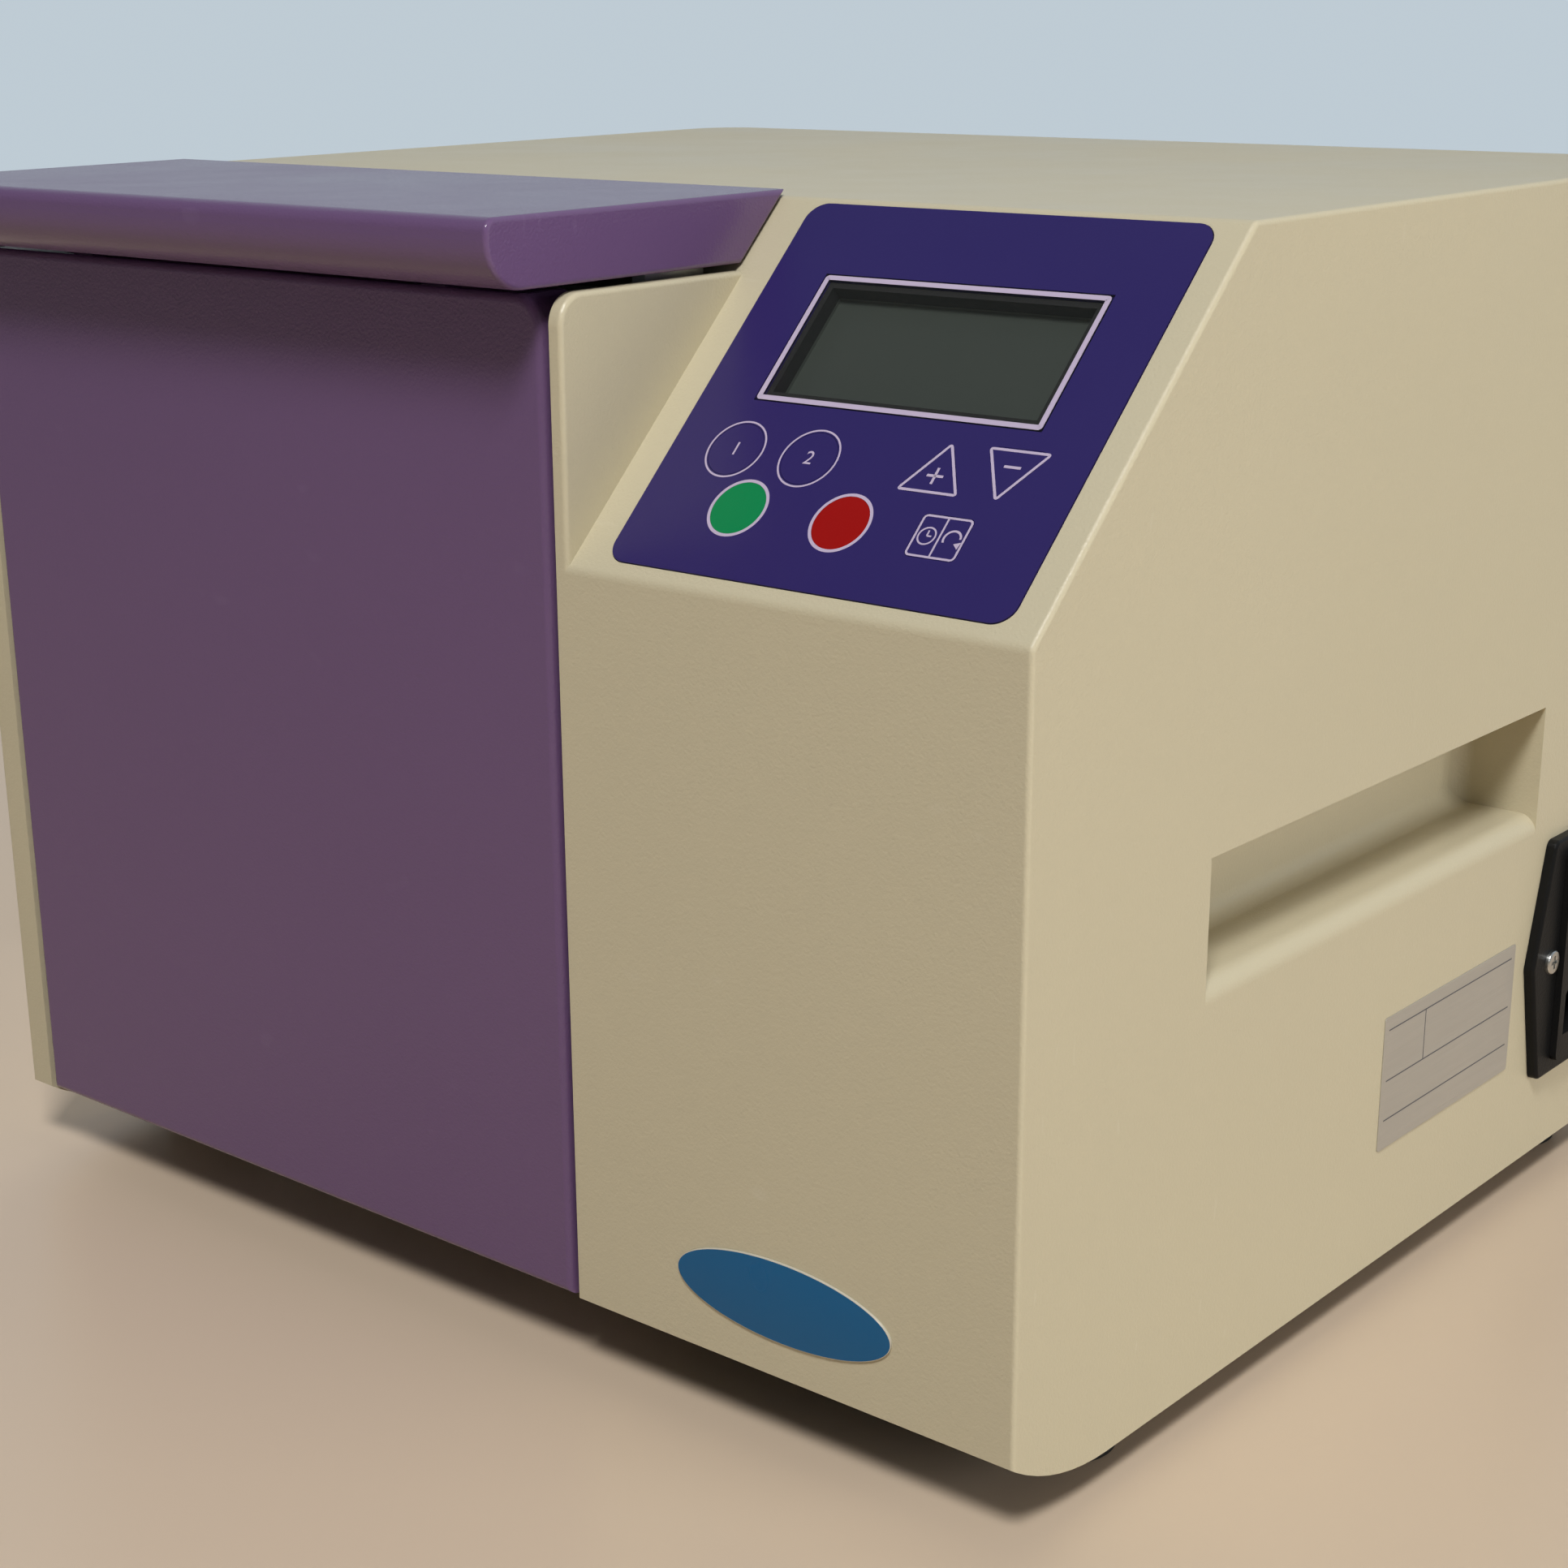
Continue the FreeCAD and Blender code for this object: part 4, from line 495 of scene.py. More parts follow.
FINISHES: dict[str, Finish] = {
    "cream_moulding": Finish((0.55, 0.492, 0.342), (0.34, 0.46), drift=0.025, dust=0.03, wear=0.08),
    "cream_sheet": Finish((0.55, 0.492, 0.342), (0.34, 0.48), grain_scale=2200.0, grain_depth=0.04,
                          drift=0.02, wear=0.08),
    "purple_moulding": Finish((0.135, 0.075, 0.172), (0.16, 0.22), worn_colour=(0.3, 0.22, 0.36),
                              dust=0.0, drift=0.03, wear=0.1),
    "keypad_film": Finish((0.024, 0.015, 0.11), (0.28, 0.36), grain_depth=0.01, wear=0.0, dust=0.0,
                          shine=0.4),
    "green_key": Finish((0.001, 0.21, 0.065), (0.34, 0.42), grain_depth=0.01, wear=0.0, dust=0.0, shine=0.2),
    "red_key": Finish((0.3, 0.003, 0.002), (0.34, 0.42), grain_depth=0.01, wear=0.0, dust=0.0, shine=0.2),
    "film_key": Finish((0.024, 0.015, 0.11), (0.28, 0.36), grain_depth=0.01, wear=0.0, dust=0.0, shine=0.4),
    "clear_window": Finish((0.02, 0.022, 0.02), (0.06, 0.12), grain_depth=0.0, wear=0.0, dust=0.0,
                           alpha=0.22),
    "display_glass": Finish((0.1, 0.118, 0.1), (0.3, 0.4), grain_depth=0.0, wear=0.0, dust=0.0, drift=0.03),
    "black_plastic": Finish((0.008, 0.008, 0.008), (0.38, 0.5), worn_colour=(0.1, 0.1, 0.1), wear=0.05,
                            dust=0.01, shine=0.12),
    "switch_plastic": Finish((0.014, 0.014, 0.014), (0.2, 0.3), worn_colour=(0.12, 0.12, 0.12), wear=0.1,
                             dust=0.02),
    "zinc_screw": Finish((0.62, 0.62, 0.6), (0.25, 0.42), metallic=1.0, wear=0.2, dust=0.0),
    "zinc_sheet": Finish((0.55, 0.56, 0.57), (0.34, 0.5), metallic=1.0, brushed=(3.0, 60.0, 60.0), wear=0.2),
    "steel_pin": Finish((0.5, 0.5, 0.5), (0.2, 0.32), metallic=1.0, brushed=(4.0, 80.0, 80.0), wear=0.2),
    "stainless": Finish((0.72, 0.72, 0.7), (0.28, 0.38), metallic=1.0, brushed=(60.0, 60.0, 2.0), wear=0.1),
    "bronze": Finish((0.5, 0.31, 0.13), (0.3, 0.42), metallic=1.0, wear=0.3, worn_colour=(0.8, 0.6, 0.3)),
    "black_rubber": Finish((0.015, 0.015, 0.015), (0.7, 0.85), grain_scale=900.0, grain_depth=0.1, wear=0.1),
    "frame_aluminium": Finish((0.6, 0.6, 0.61), (0.36, 0.5), metallic=1.0, brushed=(60.0, 3.0, 60.0)),
    "motor_paint": Finish((0.03, 0.032, 0.036), (0.4, 0.55), worn_colour=(0.3, 0.3, 0.3)),
    "circuit_board": Finish((0.01, 0.12, 0.045), (0.25, 0.4), grain_scale=300.0, worn_colour=(0.5, 0.4, 0.1)),
    "lavender_print": Finish((0.5, 0.42, 0.56), (0.35, 0.45), grain_depth=0.0, wear=0.0, dust=0.0),
    "badge_blue": Finish((0.001, 0.1, 0.25), (0.2, 0.3), grain_depth=0.0, wear=0.0, dust=0.0, coat=0.1,
                         shine=0.25),
    # The badge rim's pale colour is a painted highlight along the badge's edge.
    "badge_rim_painted_highlight": Finish((0.56, 0.53, 0.43), (0.25, 0.35), grain_depth=0.01, wear=0.0, coat=0.4),
    "plate_silver": Finish((0.47, 0.44, 0.385), (0.34, 0.46), metallic=0.4, brushed=(60.0, 2.0, 60.0),
                           wear=0.0),
    "plate_ink": Finish((0.09, 0.09, 0.1), (0.5, 0.6), grain_depth=0.0, wear=0.0, dust=0.0),
}


class Palette:
    """Every material of the part, made once and handed out by name."""

    def __init__(self) -> None:
        """Build the shared effects and all finishes."""
        effects = SharedEffects()
        self.materials = {name: finish.build(name, effects) for name, finish in FINISHES.items()}

    def __getitem__(self, name: str) -> bpy.types.Material:
        """The material of one name.

        Args:
            name: the finish's name.

        Returns:
            The material.
        """
        return self.materials[name]

    def dress_cad(self) -> None:
        """Give every CAD node the material of its slot in the record."""
        for part in frame["record"]["subparts"]:
            node = frame["nodes"][part["node"]]
            material = self.materials[part["material_slot"]]
            if not node.data.materials:
                node.data.materials.append(material)
            for index in range(len(node.data.materials)):
                node.data.materials[index] = material
            log.info("CAD node %s: %s", part["node"], material.name)


class Flat:
    """Flat shapes drawn at the origin, as printed or cut from thin sheet."""

    corner_segments: int = 8

    @staticmethod
    def disc(across: float, along: float, radius: float, corners: int = 64) -> bpy.types.Object:
        """A filled circle, or a triangle where it has three corners.

        Args:
            across: its middle's X.
            along: its middle's Y.
            radius: from the middle to its corners.
            corners: how many corners it has.

        Returns:
            The mesh object.
        """
        deselect()
        bpy.ops.mesh.primitive_circle_add(vertices=corners, radius=radius, fill_type="NGON")
        return put(bpy.context.object, Matrix.Translation((across, along, 0)))

    @staticmethod
    def sheet(across: float, along: float, width: float, length: float, corner: float = 0.0,
              turn: float = 0.0) -> bpy.types.Object:
        """A filled rectangle with rounded corners.

        Args:
            across: its middle's X.
            along: its middle's Y.
            width: its size along X.
            length: its size along Y.
            corner: the corners' radius.
            turn: how far it is turned, in radians.

        Returns:
            The mesh object.
        """
        deselect()
        bpy.ops.mesh.primitive_plane_add(size=1)
        piece = bpy.context.object
        bpy.ops.object.mode_set(mode="EDIT")
        bpy.ops.transform.resize(value=(width, length, 1))
        if corner:
            bpy.ops.mesh.bevel(offset=corner, segments=Flat.corner_segments, affect="VERTICES")
        leave_edit()
        return put(piece, Matrix.Translation((across, along, 0)) @ Matrix.Rotation(turn, 4, "Z"))

    @staticmethod
    def outline(piece: bpy.types.Object, stroke: float) -> bpy.types.Object:
        """Keep only a band of one width inside a filled shape's edge.

        Args:
            piece: the filled shape.
            stroke: the band's width.

        Returns:
            The same object.
        """
        select_faces(piece, lambda face: True)
        bpy.ops.mesh.inset(thickness=stroke)
        bpy.ops.mesh.delete(type="FACE")
        leave_edit()
        return piece

    @staticmethod
    def thicken(piece: bpy.types.Object, thickness: float) -> bpy.types.Object:
        """Give a flat shape its thickness, with half of it on each side.

        Args:
            piece: the flat shape.
            thickness: how thick it becomes.

        Returns:
            The same object.
        """
        apply_modifier(piece, "SOLIDIFY", thickness=thickness, offset=0.0)
        return piece


@dataclass
class SlopeFace:
    """The sloping face: drawn flat with X across from the right side, Y up the slope and Z out of it."""

    fall: float = 76.3 * MM
    run: float = 78.1 * MM

    def place(self, proud: float) -> Matrix:
        """Where a flat drawing goes on the casing's slope.

        Args:
            proud: its height over the slope.

        Returns:
            The matrix that takes it there.
        """
        low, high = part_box("casing")
        turn = Matrix.Rotation(math.atan2(self.fall, self.run), 4, "X")
        foot = Vector((high.x, low.y, high.z - self.fall))
        return Matrix.Translation(foot) @ turn @ Matrix.Translation((0, 0, proud))


@dataclass
class KeypadPrint:
    """Lavender print on the membrane: display border, key outlines and plain signs."""

    slope: SlopeFace
    film_proud: float = 0.3 * MM
    ink: float = 0.06 * MM
    stroke: float = 0.65 * MM
    thin_stroke: float = 0.45 * MM
    clock_stroke_share: float = 0.6
    divider_stroke_share: float = 0.7
    sign_stroke_share: float = 0.8
    numeral_size: float = 5.0 * MM
    border: float = 1.3 * MM
    border_corner: float = 1.0 * MM
    press_ring: float = 7.7 * MM
    press_stroke: float = 0.76 * MM
    mode_ring: float = 7.8 * MM
    key_along: tuple[float, float] = (22.0 * MM, 37.0 * MM)
    start_across: float = 89.0 * MM
    stop_across: float = 60.5 * MM
    mode_across: tuple[float, float] = (98.7 * MM, 77.8 * MM)
    plus_across: float = 43.6 * MM
    minus_across: float = 26.2 * MM
    arrow_foot: float = 32.2 * MM
    arrow_side: float = 16.2 * MM
    arrow_height: float = 13.4 * MM
    arrow_round: float = 1.3 * MM
    arrow_segments: int = 6
    arrow_sign_share: float = 0.26
    select_across: float = 34.5 * MM
    select_along: float = 21.9 * MM
    select_width: float = 12.8 * MM
    select_height: float = 10.6 * MM
    select_corner: float = 1.2 * MM
    sign_radius_share: float = 0.72
    long_hand_share: float = 0.6
    short_hand_share: float = 0.5
    dial_cut_share: float = 0.2
    dial_cut_lean: float = 0.35
    pointer_share: float = 0.45
    pointer_place_shares: tuple[float, float] = (0.85, 0.55)
    pointer_turn: float = 200.0
    screen_right: float = 25.5 * MM
    screen_width: float = 74.5 * MM
    screen_start: float = 52.3 * MM
    screen_length: float = 33.1 * MM

    def ring(self, across: float, along: float, radius: float, stroke: float) -> bpy.types.Object:
        """A printed circle line.

        Args:
            across: its middle, from the casing's right side.
            along: its middle, up the slope.
            radius: its outer radius.
            stroke: the line's width.

        Returns:
            The mesh object.
        """
        return Flat.outline(Flat.disc(-across, along, radius), stroke)

    def arrow(self, across: float, upward: bool) -> bpy.types.Object:
        """A printed triangle line with rounded corners.

        Args:
            across: its middle, from the casing's right side.
            upward: whether it points up the slope.

        Returns:
            The mesh object.
        """
        piece = Flat.disc(0, 0, 1.0, corners=3)
        turn = Matrix.Rotation(0 if upward else math.pi, 4, "Z")
        size = Matrix.Diagonal((self.arrow_side / TRIANGLE_WIDTH, self.arrow_height / TRIANGLE_HEIGHT, 1, 1))
        middle = self.arrow_foot + self.arrow_height * (1 / 3 if upward else 2 / 3)
        put(piece, Matrix.Translation((-across, middle, 0)) @ turn @ size)
        pick(piece)
        bpy.ops.object.mode_set(mode="EDIT")
        bpy.ops.mesh.select_all(action="SELECT")
        bpy.ops.mesh.bevel(offset=self.arrow_round, segments=self.arrow_segments, affect="VERTICES")
        leave_edit()
        return Flat.outline(piece, self.stroke)

    def numeral(self, text: str, across: float, along: float) -> bpy.types.Object:
        """A plain printed numeral, made a mesh.

        Args:
            text: the numeral.
            across: its middle, from the casing's right side.
            along: its middle, up the slope.

        Returns:
            The mesh object.
        """
        deselect()
        bpy.ops.object.text_add()
        label = bpy.context.object
        label.data.body = text
        label.data.size = self.numeral_size
        label.data.align_x = "CENTER"
        label.data.align_y = "CENTER"
        bpy.ops.object.convert(target="MESH")
        piece = bpy.context.object
        return put(piece, Matrix.Translation((-across, along, 0)))

    def clock(self, across: float, along: float, radius: float) -> list[bpy.types.Object]:
        """A clock face with two hands.

        Args:
            across: its middle, from the casing's right side.
            along: its middle, up the slope.
            radius: its outer radius.

        Returns:
            The mesh objects.
        """
        thin = self.stroke * self.clock_stroke_share
        long_hand = radius * self.long_hand_share
        short_hand = radius * self.short_hand_share
        return [
            self.ring(across, along, radius, thin),
            Flat.sheet(-across, along + long_hand / 2, thin, long_hand),
            Flat.sheet(-across + short_hand / 2, along, short_hand, thin),
        ]

    def dial(self, across: float, along: float, radius: float) -> list[bpy.types.Object]:
        """A speed dial: an arc over a small pointer.

        Args:
            across: its middle, from the casing's right side.
            along: its middle, up the slope.
            radius: the arc's outer radius.

        Returns:
            The mesh objects.
        """
        arc = self.ring(across, along, radius, self.stroke * self.sign_stroke_share)
        pick(arc)
        bpy.ops.object.mode_set(mode="EDIT")
        bpy.ops.mesh.select_all(action="SELECT")
        cut = (-across, along - radius * self.dial_cut_share, 0)
        bpy.ops.mesh.bisect(plane_co=cut, plane_no=(self.dial_cut_lean, -1, 0), clear_outer=True)
        leave_edit()
        tip = Flat.disc(0, 0, radius * self.pointer_share, corners=3)
        right, down = self.pointer_place_shares
        place = Matrix.Translation((-across + radius * right, along - radius * down, 0))
        put(tip, place @ Matrix.Rotation(math.radians(self.pointer_turn), 4, "Z"))
        return [arc, tip]

    def lay(self, parts: list[bpy.types.Object], name: str, body: str, palette: Palette) -> None:
        """Thicken drawn parts, lay them on the membrane and let them ride.

        Args:
            parts: flat meshes in the slope's drawing.
            name: the joined piece's name.
            body: the body that carries the print.
            palette: the materials.
        """
        piece = Flat.thicken(join(parts, name), self.ink)
        put(piece, self.slope.place(self.film_proud))
        finish_piece(piece, body, palette["lavender_print"])

    def print_round_keys(self, palette: Palette) -> None:
        """Print the start and stop outlines, and the mode outlines with their numerals.

        Args:
            palette: the materials.
        """
        low, high = self.key_along
        self.lay([self.ring(self.start_across, low, self.press_ring, self.press_stroke)],
                 "start_outline", "root", palette)
        self.lay([self.ring(self.stop_across, low, self.press_ring, self.press_stroke)],
                 "stop_outline", "root", palette)
        for across, word, text in zip(self.mode_across, ("one", "two"), ("1", "2")):
            self.lay([self.ring(across, high, self.mode_ring, self.thin_stroke)],
                     "mode_" + word + "_outline", "root", palette)
            self.lay([self.numeral(text, across, high)], "mode_" + word + "_numeral",
                     "key_mode_" + word + "_body", palette)

    def print_arrow_keys(self, palette: Palette) -> None:
        """Print the two triangles with plus and minus.

        Args:
            palette: the materials.
        """
        sign = self.arrow_side * self.arrow_sign_share
        third = self.arrow_height / 3
        plus = self.arrow_foot + third
        minus = self.arrow_foot + 2 * third
        self.lay([self.arrow(self.plus_across, True),
                  Flat.sheet(-self.plus_across, plus, sign, self.stroke),
                  Flat.sheet(-self.plus_across, plus, self.stroke, sign)],
                 "plus_outline", "key_plus_body", palette)
        self.lay([self.arrow(self.minus_across, False),
                  Flat.sheet(-self.minus_across, minus, sign, self.stroke)],
                 "minus_outline", "key_minus_body", palette)

    def print_select_key(self, palette: Palette) -> None:
        """Print the divided box with its clock and dial.

        Args:
            palette: the materials.
        """
        across, along = self.select_across, self.select_along
        box = Flat.sheet(-across, along, self.select_width, self.select_height, corner=self.select_corner)
        box = Flat.outline(box, self.stroke * self.sign_stroke_share)
        line = Flat.sheet(-across, along, self.stroke * self.divider_stroke_share,
                          self.select_height - self.stroke)
        quarter = self.select_width / 4
        radius = quarter * self.sign_radius_share
        self.lay([box, line] + self.clock(across + quarter, along, radius)
                 + self.dial(across - quarter, along, radius),
                 "select_outline", "key_select_body", palette)

    def print_border(self, palette: Palette) -> None:
        """Print the line round the display.

        Args:
            palette: the materials.
        """
        edge = self.border
        border = Flat.sheet(-self.screen_right - self.screen_width / 2,
                            self.screen_start + self.screen_length / 2,
                            self.screen_width + 2 * edge, self.screen_length + 2 * edge,
                            corner=self.border_corner)
        self.lay([Flat.outline(border, edge)], "display_border", "root", palette)

    def build(self, palette: Palette) -> None:
        """Print every key and the display's border.

        Args:
            palette: the materials.
        """
        self.print_round_keys(palette)
        self.print_arrow_keys(palette)
        self.print_select_key(palette)
        self.print_border(palette)


@dataclass
class OvalBadge:
    """Bare oval badge on the front: a domed blue field inside a thin rim, and the rim is painted pale as a
    highlight along the edge.
    """

    across: float = 64.8 * MM
    height: float = 39.9 * MM
    width: float = 63.3 * MM
    tall: float = 20.4 * MM
    thickness: float = 0.6 * MM
    rim: float = 0.25 * MM
    dome: float = 0.35 * MM
    corners: int = 96
    edge_share: float = 0.3
    edge_segments: int = 3
    steps: int = 4
    step_share: float = 0.5
    flat_top: float = 0.99
    blue_inset_share: float = 1.05
    smooth_angle: float = 35.0

    def model(self) -> bpy.types.Object:
        """Model the badge flat: a disc with a rounded edge, a rim and a low dome.

        Returns:
            The mesh object.
        """
        deselect()
        bpy.ops.mesh.primitive_cylinder_add(vertices=self.corners, radius=0.5, depth=self.thickness)
        badge = bpy.context.object
        put(badge, Matrix.Diagonal((self.width, self.tall, 1, 1)))
        select_faces(badge, lambda face: face.normal.z > UPWARD)
        bpy.ops.mesh.bevel(offset=self.thickness * self.edge_share, segments=self.edge_segments,
                           affect="EDGES")
        leave_edit()
        select_faces(badge, lambda face: face.normal.z > self.flat_top)
        bpy.ops.mesh.inset(thickness=self.rim)
        for step in range(self.steps):
            rise = self.dome / (step + 1) / 2
            bpy.ops.mesh.extrude_region_move(TRANSFORM_OT_translate={"value": (0, 0, rise)})
            share = 1 - 1 / (self.steps + 1 - step * self.step_share)
            bpy.ops.transform.resize(value=(share, share, 1))
        leave_edit()
        return badge

    def colour(self, badge: bpy.types.Object, palette: Palette) -> None:
        """Paint the rim pale as a highlight along the badge's edge, and make all inside it blue.

        Args:
            badge: the badge, still flat.
            palette: the materials.
        """
        # The first material, the pale rim, is a painted highlight along the badge's edge.
        badge.data.materials.append(palette["badge_rim_painted_highlight"])
        badge.data.materials.append(palette["badge_blue"])
        inset = self.rim * self.blue_inset_share
        inner = Vector((self.width / 2 - inset, self.tall / 2 - inset))
        for face in badge.data.polygons:
            across, along, up = face.center
            inside = (across / inner.x) ** 2 + (along / inner.y) ** 2 < 1
            face.material_index = int(inside and up > 0)

    def build(self, palette: Palette) -> None:
        """Make the badge and set it on the front face.

        Args:
            palette: the materials.
        """
        badge = self.model()
        self.colour(badge, palette)
        badge.name = "front_badge"
        low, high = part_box("casing")
        place = Matrix.Translation((high.x - self.across, low.y - self.thickness / 2, self.height))
        put(badge, place @ Facing.FRONT.turn())
        pick(badge)
        bpy.ops.object.shade_smooth_by_angle(angle=math.radians(self.smooth_angle))
        finish_piece(badge, "root", palette["badge_rim_painted_highlight"])


@dataclass
class RatingPlate:
    """Bare silver plate on the right side, with blank ruled fields and no words."""

    start: float = 159.8 * MM
    width: float = 73.4 * MM
    low: float = 40.8 * MM
    tall: float = 36.6 * MM
    corner: float = 0.8 * MM
    thickness: float = 0.3 * MM
    ink: float = 0.05 * MM
    rule: float = 0.35 * MM
    rule_height_shares: tuple[float, ...] = (0.22, 0.52, 0.9)
    rule_length_share: float = 0.94
    divider_place_shares: tuple[float, float] = (0.2, 0.21)
    divider_length_share: float = 0.38

    def divider(self) -> bpy.types.Object:
        """The short upright line between two fields.

        Returns:
            The mesh object.
        """
        left, up = self.divider_place_shares
        length = self.tall * self.divider_length_share
        return Flat.sheet(-self.width * left, self.tall * up, self.rule, length)

    def build(self, palette: Palette) -> None:
        """Make the plate and its ruled lines.

        Args:
            palette: the materials.
        """
        low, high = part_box("casing")
        middle = Vector((high.x, low.y + self.start + self.width / 2, self.low + self.tall / 2))
        plate = Flat.thicken(Flat.sheet(0, 0, self.width, self.tall, self.corner), self.thickness)
        apply_modifier(plate, "BEVEL", width=self.thickness / 4, segments=2)
        put(plate, Matrix.Translation(middle + Vector((self.thickness / 2, 0, 0))) @ Facing.RIGHT.turn())
        plate.name = "rating_plate"
        finish_piece(plate, "root", palette["plate_silver"])
        length = self.width * self.rule_length_share
        lines = [Flat.sheet(0, (share - 0.5) * self.tall, length, self.rule)
                 for share in self.rule_height_shares]
        lines.append(self.divider())
        lines = Flat.thicken(join(lines, "rating_plate_rules"), self.ink)
        put(lines, Matrix.Translation(middle + Vector((self.thickness, 0, 0))) @ Facing.RIGHT.turn())
        finish_piece(lines, "root", palette["plate_ink"])


@dataclass
class CrossScrews:
    """Pan head screws with a cross recess that stand for one CAD node of screws."""

    node: str
    facing: Facing
    counts: tuple[int, int, int]
    head_radius: float
    head_height: float
    shank_radius: float = 2.0 * MM
    corners: int = 32
    dome_share: float = 0.4
    dome_segments: int = 4
    arm_shares: tuple[float, float] = (1.1, 0.3)
    recess_share: float = 0.9
    turn_step: float = 37.0
    smooth_angle: float = 40.0

    def head(self, length: float) -> bpy.types.Object:
        """One screw, head up, with its seat at the origin.

        Args:
            length: how far its shank runs below the seat.

        Returns:
            The mesh object.
        """
        deselect()
        bpy.ops.mesh.primitive_cylinder_add(vertices=self.corners, radius=self.head_radius,
                                            depth=self.head_height)
        screw = bpy.context.object
        put(screw, Matrix.Translation((0, 0, self.head_height / 2)))
        select_faces(screw, lambda face: face.normal.z > UPWARD)
        bpy.ops.mesh.bevel(offset=self.head_height * self.dome_share, segments=self.dome_segments,
                           affect="EDGES")
        leave_edit()
        select_faces(screw, lambda face: face.normal.z < -UPWARD)
        bpy.ops.mesh.inset(thickness=self.head_radius - self.shank_radius)
        bpy.ops.mesh.extrude_region_move(TRANSFORM_OT_translate={"value": (0, 0, -length)})
        leave_edit()
        self.cut_cross(screw)
        return screw

    def cut_cross(self, screw: bpy.types.Object) -> None:
        """Sink the cross recess into a head.

        Args:
            screw: the screw, head up.
        """
        length, width = (self.head_radius * share for share in self.arm_shares)
        for turn in (0, math.pi / 2):
            deselect()
            bpy.ops.mesh.primitive_cube_add(size=1)
            arm = bpy.context.object
            put(arm, Matrix.Rotation(turn, 4, "Z") @ Matrix.Diagonal((length, width, self.head_height, 1)))
            put(arm, Matrix.Translation((0, 0, self.head_height * self.recess_share)))
            apply_modifier(screw, "BOOLEAN", operation="DIFFERENCE", object=arm, solver="EXACT")
            bpy.data.objects.remove(arm)

    def places(self) -> list[Vector]:
        """Each head's seat, spread evenly over the node's box.

        Returns:
            One point for each screw.
        """
        low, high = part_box(self.node)
        out = Vector(self.facing.value[2])
        spots = [Vector()]
        for axis, count in enumerate(self.counts):
            if out[axis]:
                seat = high[axis] - self.head_height if out[axis] > 0 else low[axis] + self.head_height
                steps = [seat]
            else:
                first = low[axis] + self.head_radius
                last = high[axis] - self.head_radius
                steps = [first + (last - first) * i / max(1, count - 1) for i in range(count)]
            grown = []
            for spot in spots:
                for step in steps:
                    point = spot.copy()
                    point[axis] = step
                    grown.append(point)
            spots = grown
        return spots

    def build(self, palette: Palette) -> None:
        """Model one screw, copy it to every place and hide the CAD screws.

        Args:
            palette: the materials.
        """
        low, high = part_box(self.node)
        out = Vector(self.facing.value[2])
        depth = sum(abs(out[axis]) * (high[axis] - low[axis]) for axis in range(3)) - self.head_height
        first = self.head(depth)
        copies = []
        for index, spot in enumerate(self.places()):
            copy = first.copy()
            copy.data = first.data.copy()
            bpy.context.scene.collection.objects.link(copy)
            turn = Matrix.Rotation(math.radians(self.turn_step * index), 4, "Z")
            copies.append(put(copy, Matrix.Translation(spot) @ self.facing.turn() @ turn))
        bpy.data.objects.remove(first)
        screws = join(copies, self.node + "_cross")
        pick(screws)
        bpy.ops.object.shade_smooth_by_angle(angle=math.radians(self.smooth_angle))
        bodies = frame["record"]["behaviour"]["bodies"]
        body = next(name for name, nodes in bodies.items() if self.node in nodes)
        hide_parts(self.node)
        finish_piece(screws, body, palette["zinc_screw"])


@dataclass(frozen=True)
class Lamp:
    """A soft square lamp that looks at the object."""

    name: str
    place: tuple[float, float, float]
    size: float
    power: float
    mirrored: bool = False
    aim: tuple[float, float, float] = (0, 0, 0.13)

    def build(self) -> None:
        """Hang the lamp; gloss shows it only where it is mirrored."""
        data = bpy.data.lights.new(self.name, "AREA")
        data.size = self.size
        data.energy = self.power
        lamp = bpy.data.objects.new(self.name, data)
        bpy.context.scene.collection.objects.link(lamp)
        lamp.location = self.place
        lamp.visible_glossy = self.mirrored
        ahead = Vector(self.aim) - Vector(self.place)
        lamp.rotation_euler = ahead.to_track_quat("-Z", "Y").to_euler()


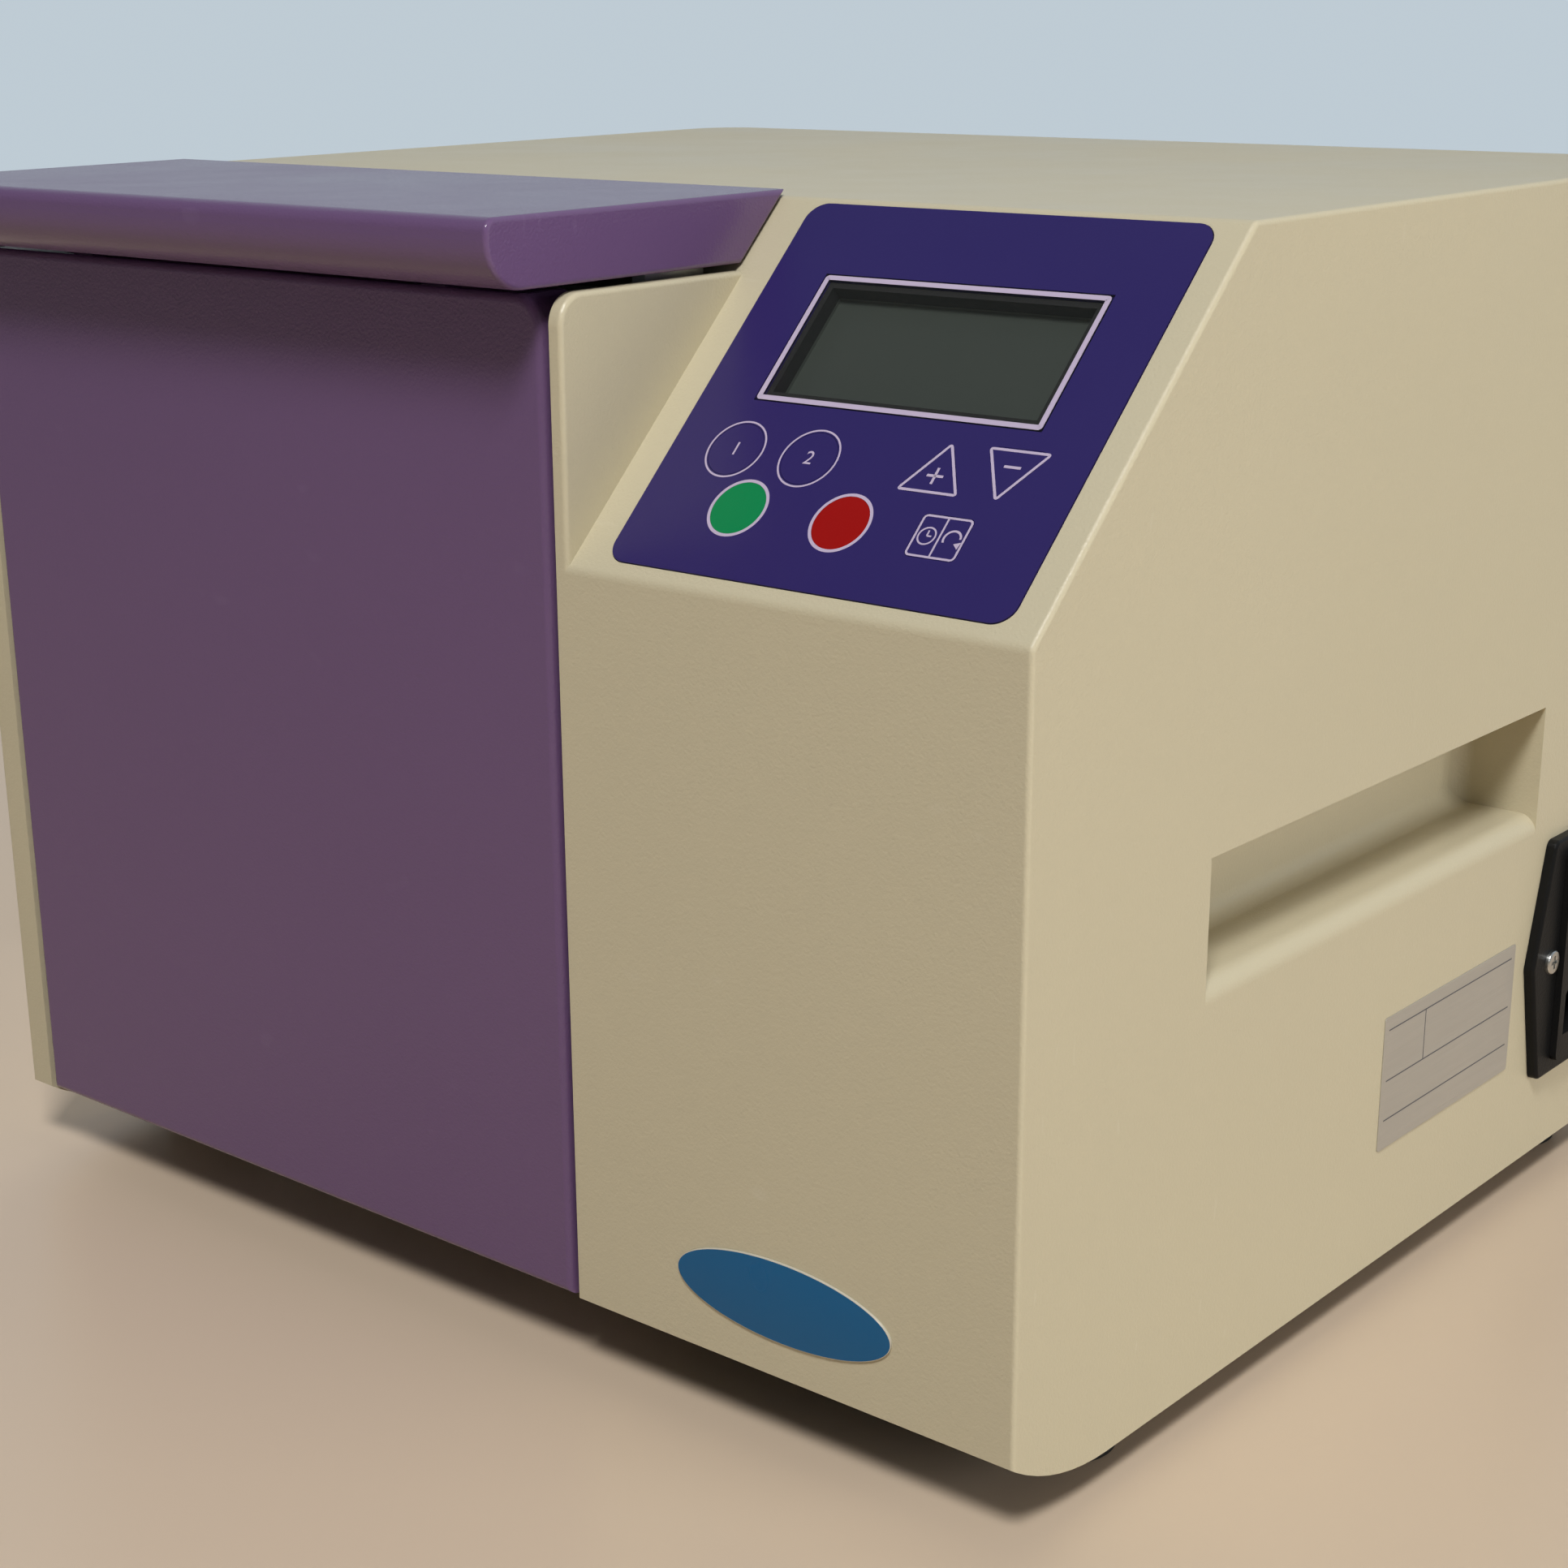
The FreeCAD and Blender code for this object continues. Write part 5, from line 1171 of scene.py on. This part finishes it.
@dataclass
class Studio:
    """Plain pale floor, soft light and the camera at the photograph's angle."""

    floor_size: float = 12.0
    floor_colour: Colour = (0.64, 0.51, 0.38)
    floor_roughness: float = 0.32
    floor_fade: tuple[float, float] = (0.55, 2.2)
    floor_mirrored: float = 0.2
    wall_colour: Colour = (0.52, 0.6, 0.66)
    sky_colour: Colour = (0.93, 0.96, 1.0)
    sky_strength: float = 0.14
    mirrored_depth: tuple[float, float] = (-0.2, 0.5)
    mirrored_strength: tuple[float, float] = (0.22, 0.75)
    lamps: tuple[Lamp, ...] = (
        Lamp("key_lamp", (0.78, -1.08, 1.72), 0.45, 31.8, mirrored=True),
        Lamp("side_lamp", (2.0, 0.35, 0.25), 1.0, 21.0),
        Lamp("rear_lamp", (-1.2, 1.7, 0.5), 1.2, 19.0),
        Lamp("left_lamp", (-2.0, 0.35, 0.5), 1.0, 9.0),
    )
    camera_place: tuple[float, float, float] = (0.4706, -0.5821, 0.3270)
    camera_ahead: tuple[float, float, float] = (-0.6201, 0.7179, -0.3165)
    camera_up: tuple[float, float, float] = (-0.1984, 0.2468, 0.9485)
    lens: float = 62.72
    sensor_width: float = 36.0
    clip_start: float = 0.01
    shift: tuple[float, float] = (0.0293, 0.0697)

    def build_camera(self) -> None:
        """Set the camera where the photograph was taken from."""
        data = bpy.data.cameras.new("camera")
        data.lens = self.lens
        data.sensor_width = self.sensor_width
        data.shift_x, data.shift_y = self.shift
        data.clip_start = self.clip_start
        camera = bpy.data.objects.new("camera", data)
        bpy.context.scene.collection.objects.link(camera)
        back = -Vector(self.camera_ahead).normalized()
        side = Vector(self.camera_up).cross(back).normalized()
        upward = back.cross(side)
        axes = Matrix((side, upward, back)).transposed().to_4x4()
        camera.matrix_world = Matrix.Translation(self.camera_place) @ axes
        bpy.context.scene.camera = camera

    def build_floor(self) -> None:
        """Lay a pale floor that takes the object's shadow and fades into the background."""
        deselect()
        bpy.ops.mesh.primitive_plane_add(size=self.floor_size)
        floor = bpy.context.object
        floor.name = "floor"
        material = bpy.data.materials.new("floor_pale")
        material.use_nodes = True
        tree = Tree(material.node_tree)
        shader = tree.add("BsdfPrincipled", Roughness=self.floor_roughness)
        shader.inputs["Base Color"].default_value = (*self.floor_colour, 1.0)
        glow = tree.add("Emission", Color=(*self.wall_colour, 1.0), Strength=1.0)
        far = tree.add("MapRange", From_Min=self.floor_fade[0], From_Max=self.floor_fade[1])
        place = tree.add("VectorMath", operation="LENGTH")
        tree.link(tree.add("TexCoord").outputs["Object"], place.inputs[0])
        tree.link(place.outputs["Value"], far.inputs["Value"])
        rays = tree.add("LightPath")
        mirrored = tree.math("MULTIPLY", rays.outputs["Is Glossy Ray"], self.floor_mirrored)
        seen = tree.math("MAXIMUM", rays.outputs["Is Camera Ray"], mirrored)
        mix = tree.add("MixShader")
        tree.link(tree.math("MULTIPLY", seen, far.outputs["Result"]), mix.inputs[0])
        tree.link(shader.outputs[0], mix.inputs[1])
        tree.link(glow.outputs[0], mix.inputs[2])
        tree.link(mix.outputs[0], tree.add("OutputMaterial").inputs["Surface"])
        floor.data.materials.append(material)

    def build_world(self) -> None:
        """Dim sky for light, pale sky for what the camera and gloss see."""
        world = bpy.data.worlds.new("studio")
        bpy.context.scene.world = world
        world.use_nodes = True
        tree = Tree(world.node_tree)
        light = tree.add("Background", Color=(*self.sky_colour, 1.0), Strength=self.sky_strength)
        seen = tree.add("Background", Color=(*self.wall_colour, 1.0), Strength=1.0)
        behind = tree.add("SeparateXYZ")
        tree.link(tree.add("TexCoord").outputs["Generated"], behind.inputs[0])
        front, back = self.mirrored_depth
        dim, bright = self.mirrored_strength
        depth = tree.add("MapRange", interpolation_type="SMOOTHSTEP", From_Min=front, From_Max=back,
                         To_Min=dim, To_Max=bright)
        tree.link(behind.outputs["Y"], depth.inputs["Value"])
        mirrored = tree.add("Background", Color=(*self.wall_colour, 1.0))
        tree.link(depth.outputs["Result"], mirrored.inputs["Strength"])
        rays = tree.add("LightPath")
        mix = tree.add("MixShader")
        through = tree.math("MAXIMUM", rays.outputs["Is Camera Ray"], rays.outputs["Is Transmission Ray"])
        tree.link(rays.outputs["Is Glossy Ray"], mix.inputs[0])
        tree.link(light.outputs[0], mix.inputs[1])
        tree.link(mirrored.outputs[0], mix.inputs[2])
        whole = tree.add("MixShader")
        tree.link(through, whole.inputs[0])
        tree.link(mix.outputs[0], whole.inputs[1])
        tree.link(seen.outputs[0], whole.inputs[2])
        tree.link(whole.outputs[0], tree.add("OutputWorld").inputs["Surface"])

    def build(self) -> None:
        """Build camera, floor, sky and lamps."""
        self.build_camera()
        self.build_floor()
        self.build_world()
        for lamp in self.lamps:
            lamp.build()
        bpy.context.scene.view_settings.view_transform = "Standard"


def main() -> None:
    """Build every sub-assembly in order."""
    logging.basicConfig(level=logging.INFO, format="%(message)s")
    Studio().build()
    palette = Palette()
    palette.dress_cad()
    KeypadPrint(SlopeFace()).build(palette)
    OvalBadge().build(palette)
    RatingPlate().build(palette)
    screws = (
        CrossScrews("rear_panel_screws", Facing.REAR, (3, 1, 2), 4.0 * MM, 2.4 * MM),
        CrossScrews("inlet_screws", Facing.RIGHT, (1, 2, 1), 3.4 * MM, 1.2 * MM),
        CrossScrews("door_plate_screws", Facing.REAR, (2, 1, 3), 3.6 * MM, 1.5 * MM),
        CrossScrews("foot_screws", Facing.DOWN, (2, 2, 1), 4.0 * MM, 2.4 * MM),
    )
    for set_of_screws in screws:
        set_of_screws.build(palette)


if __name__ == "__main__":
    main()
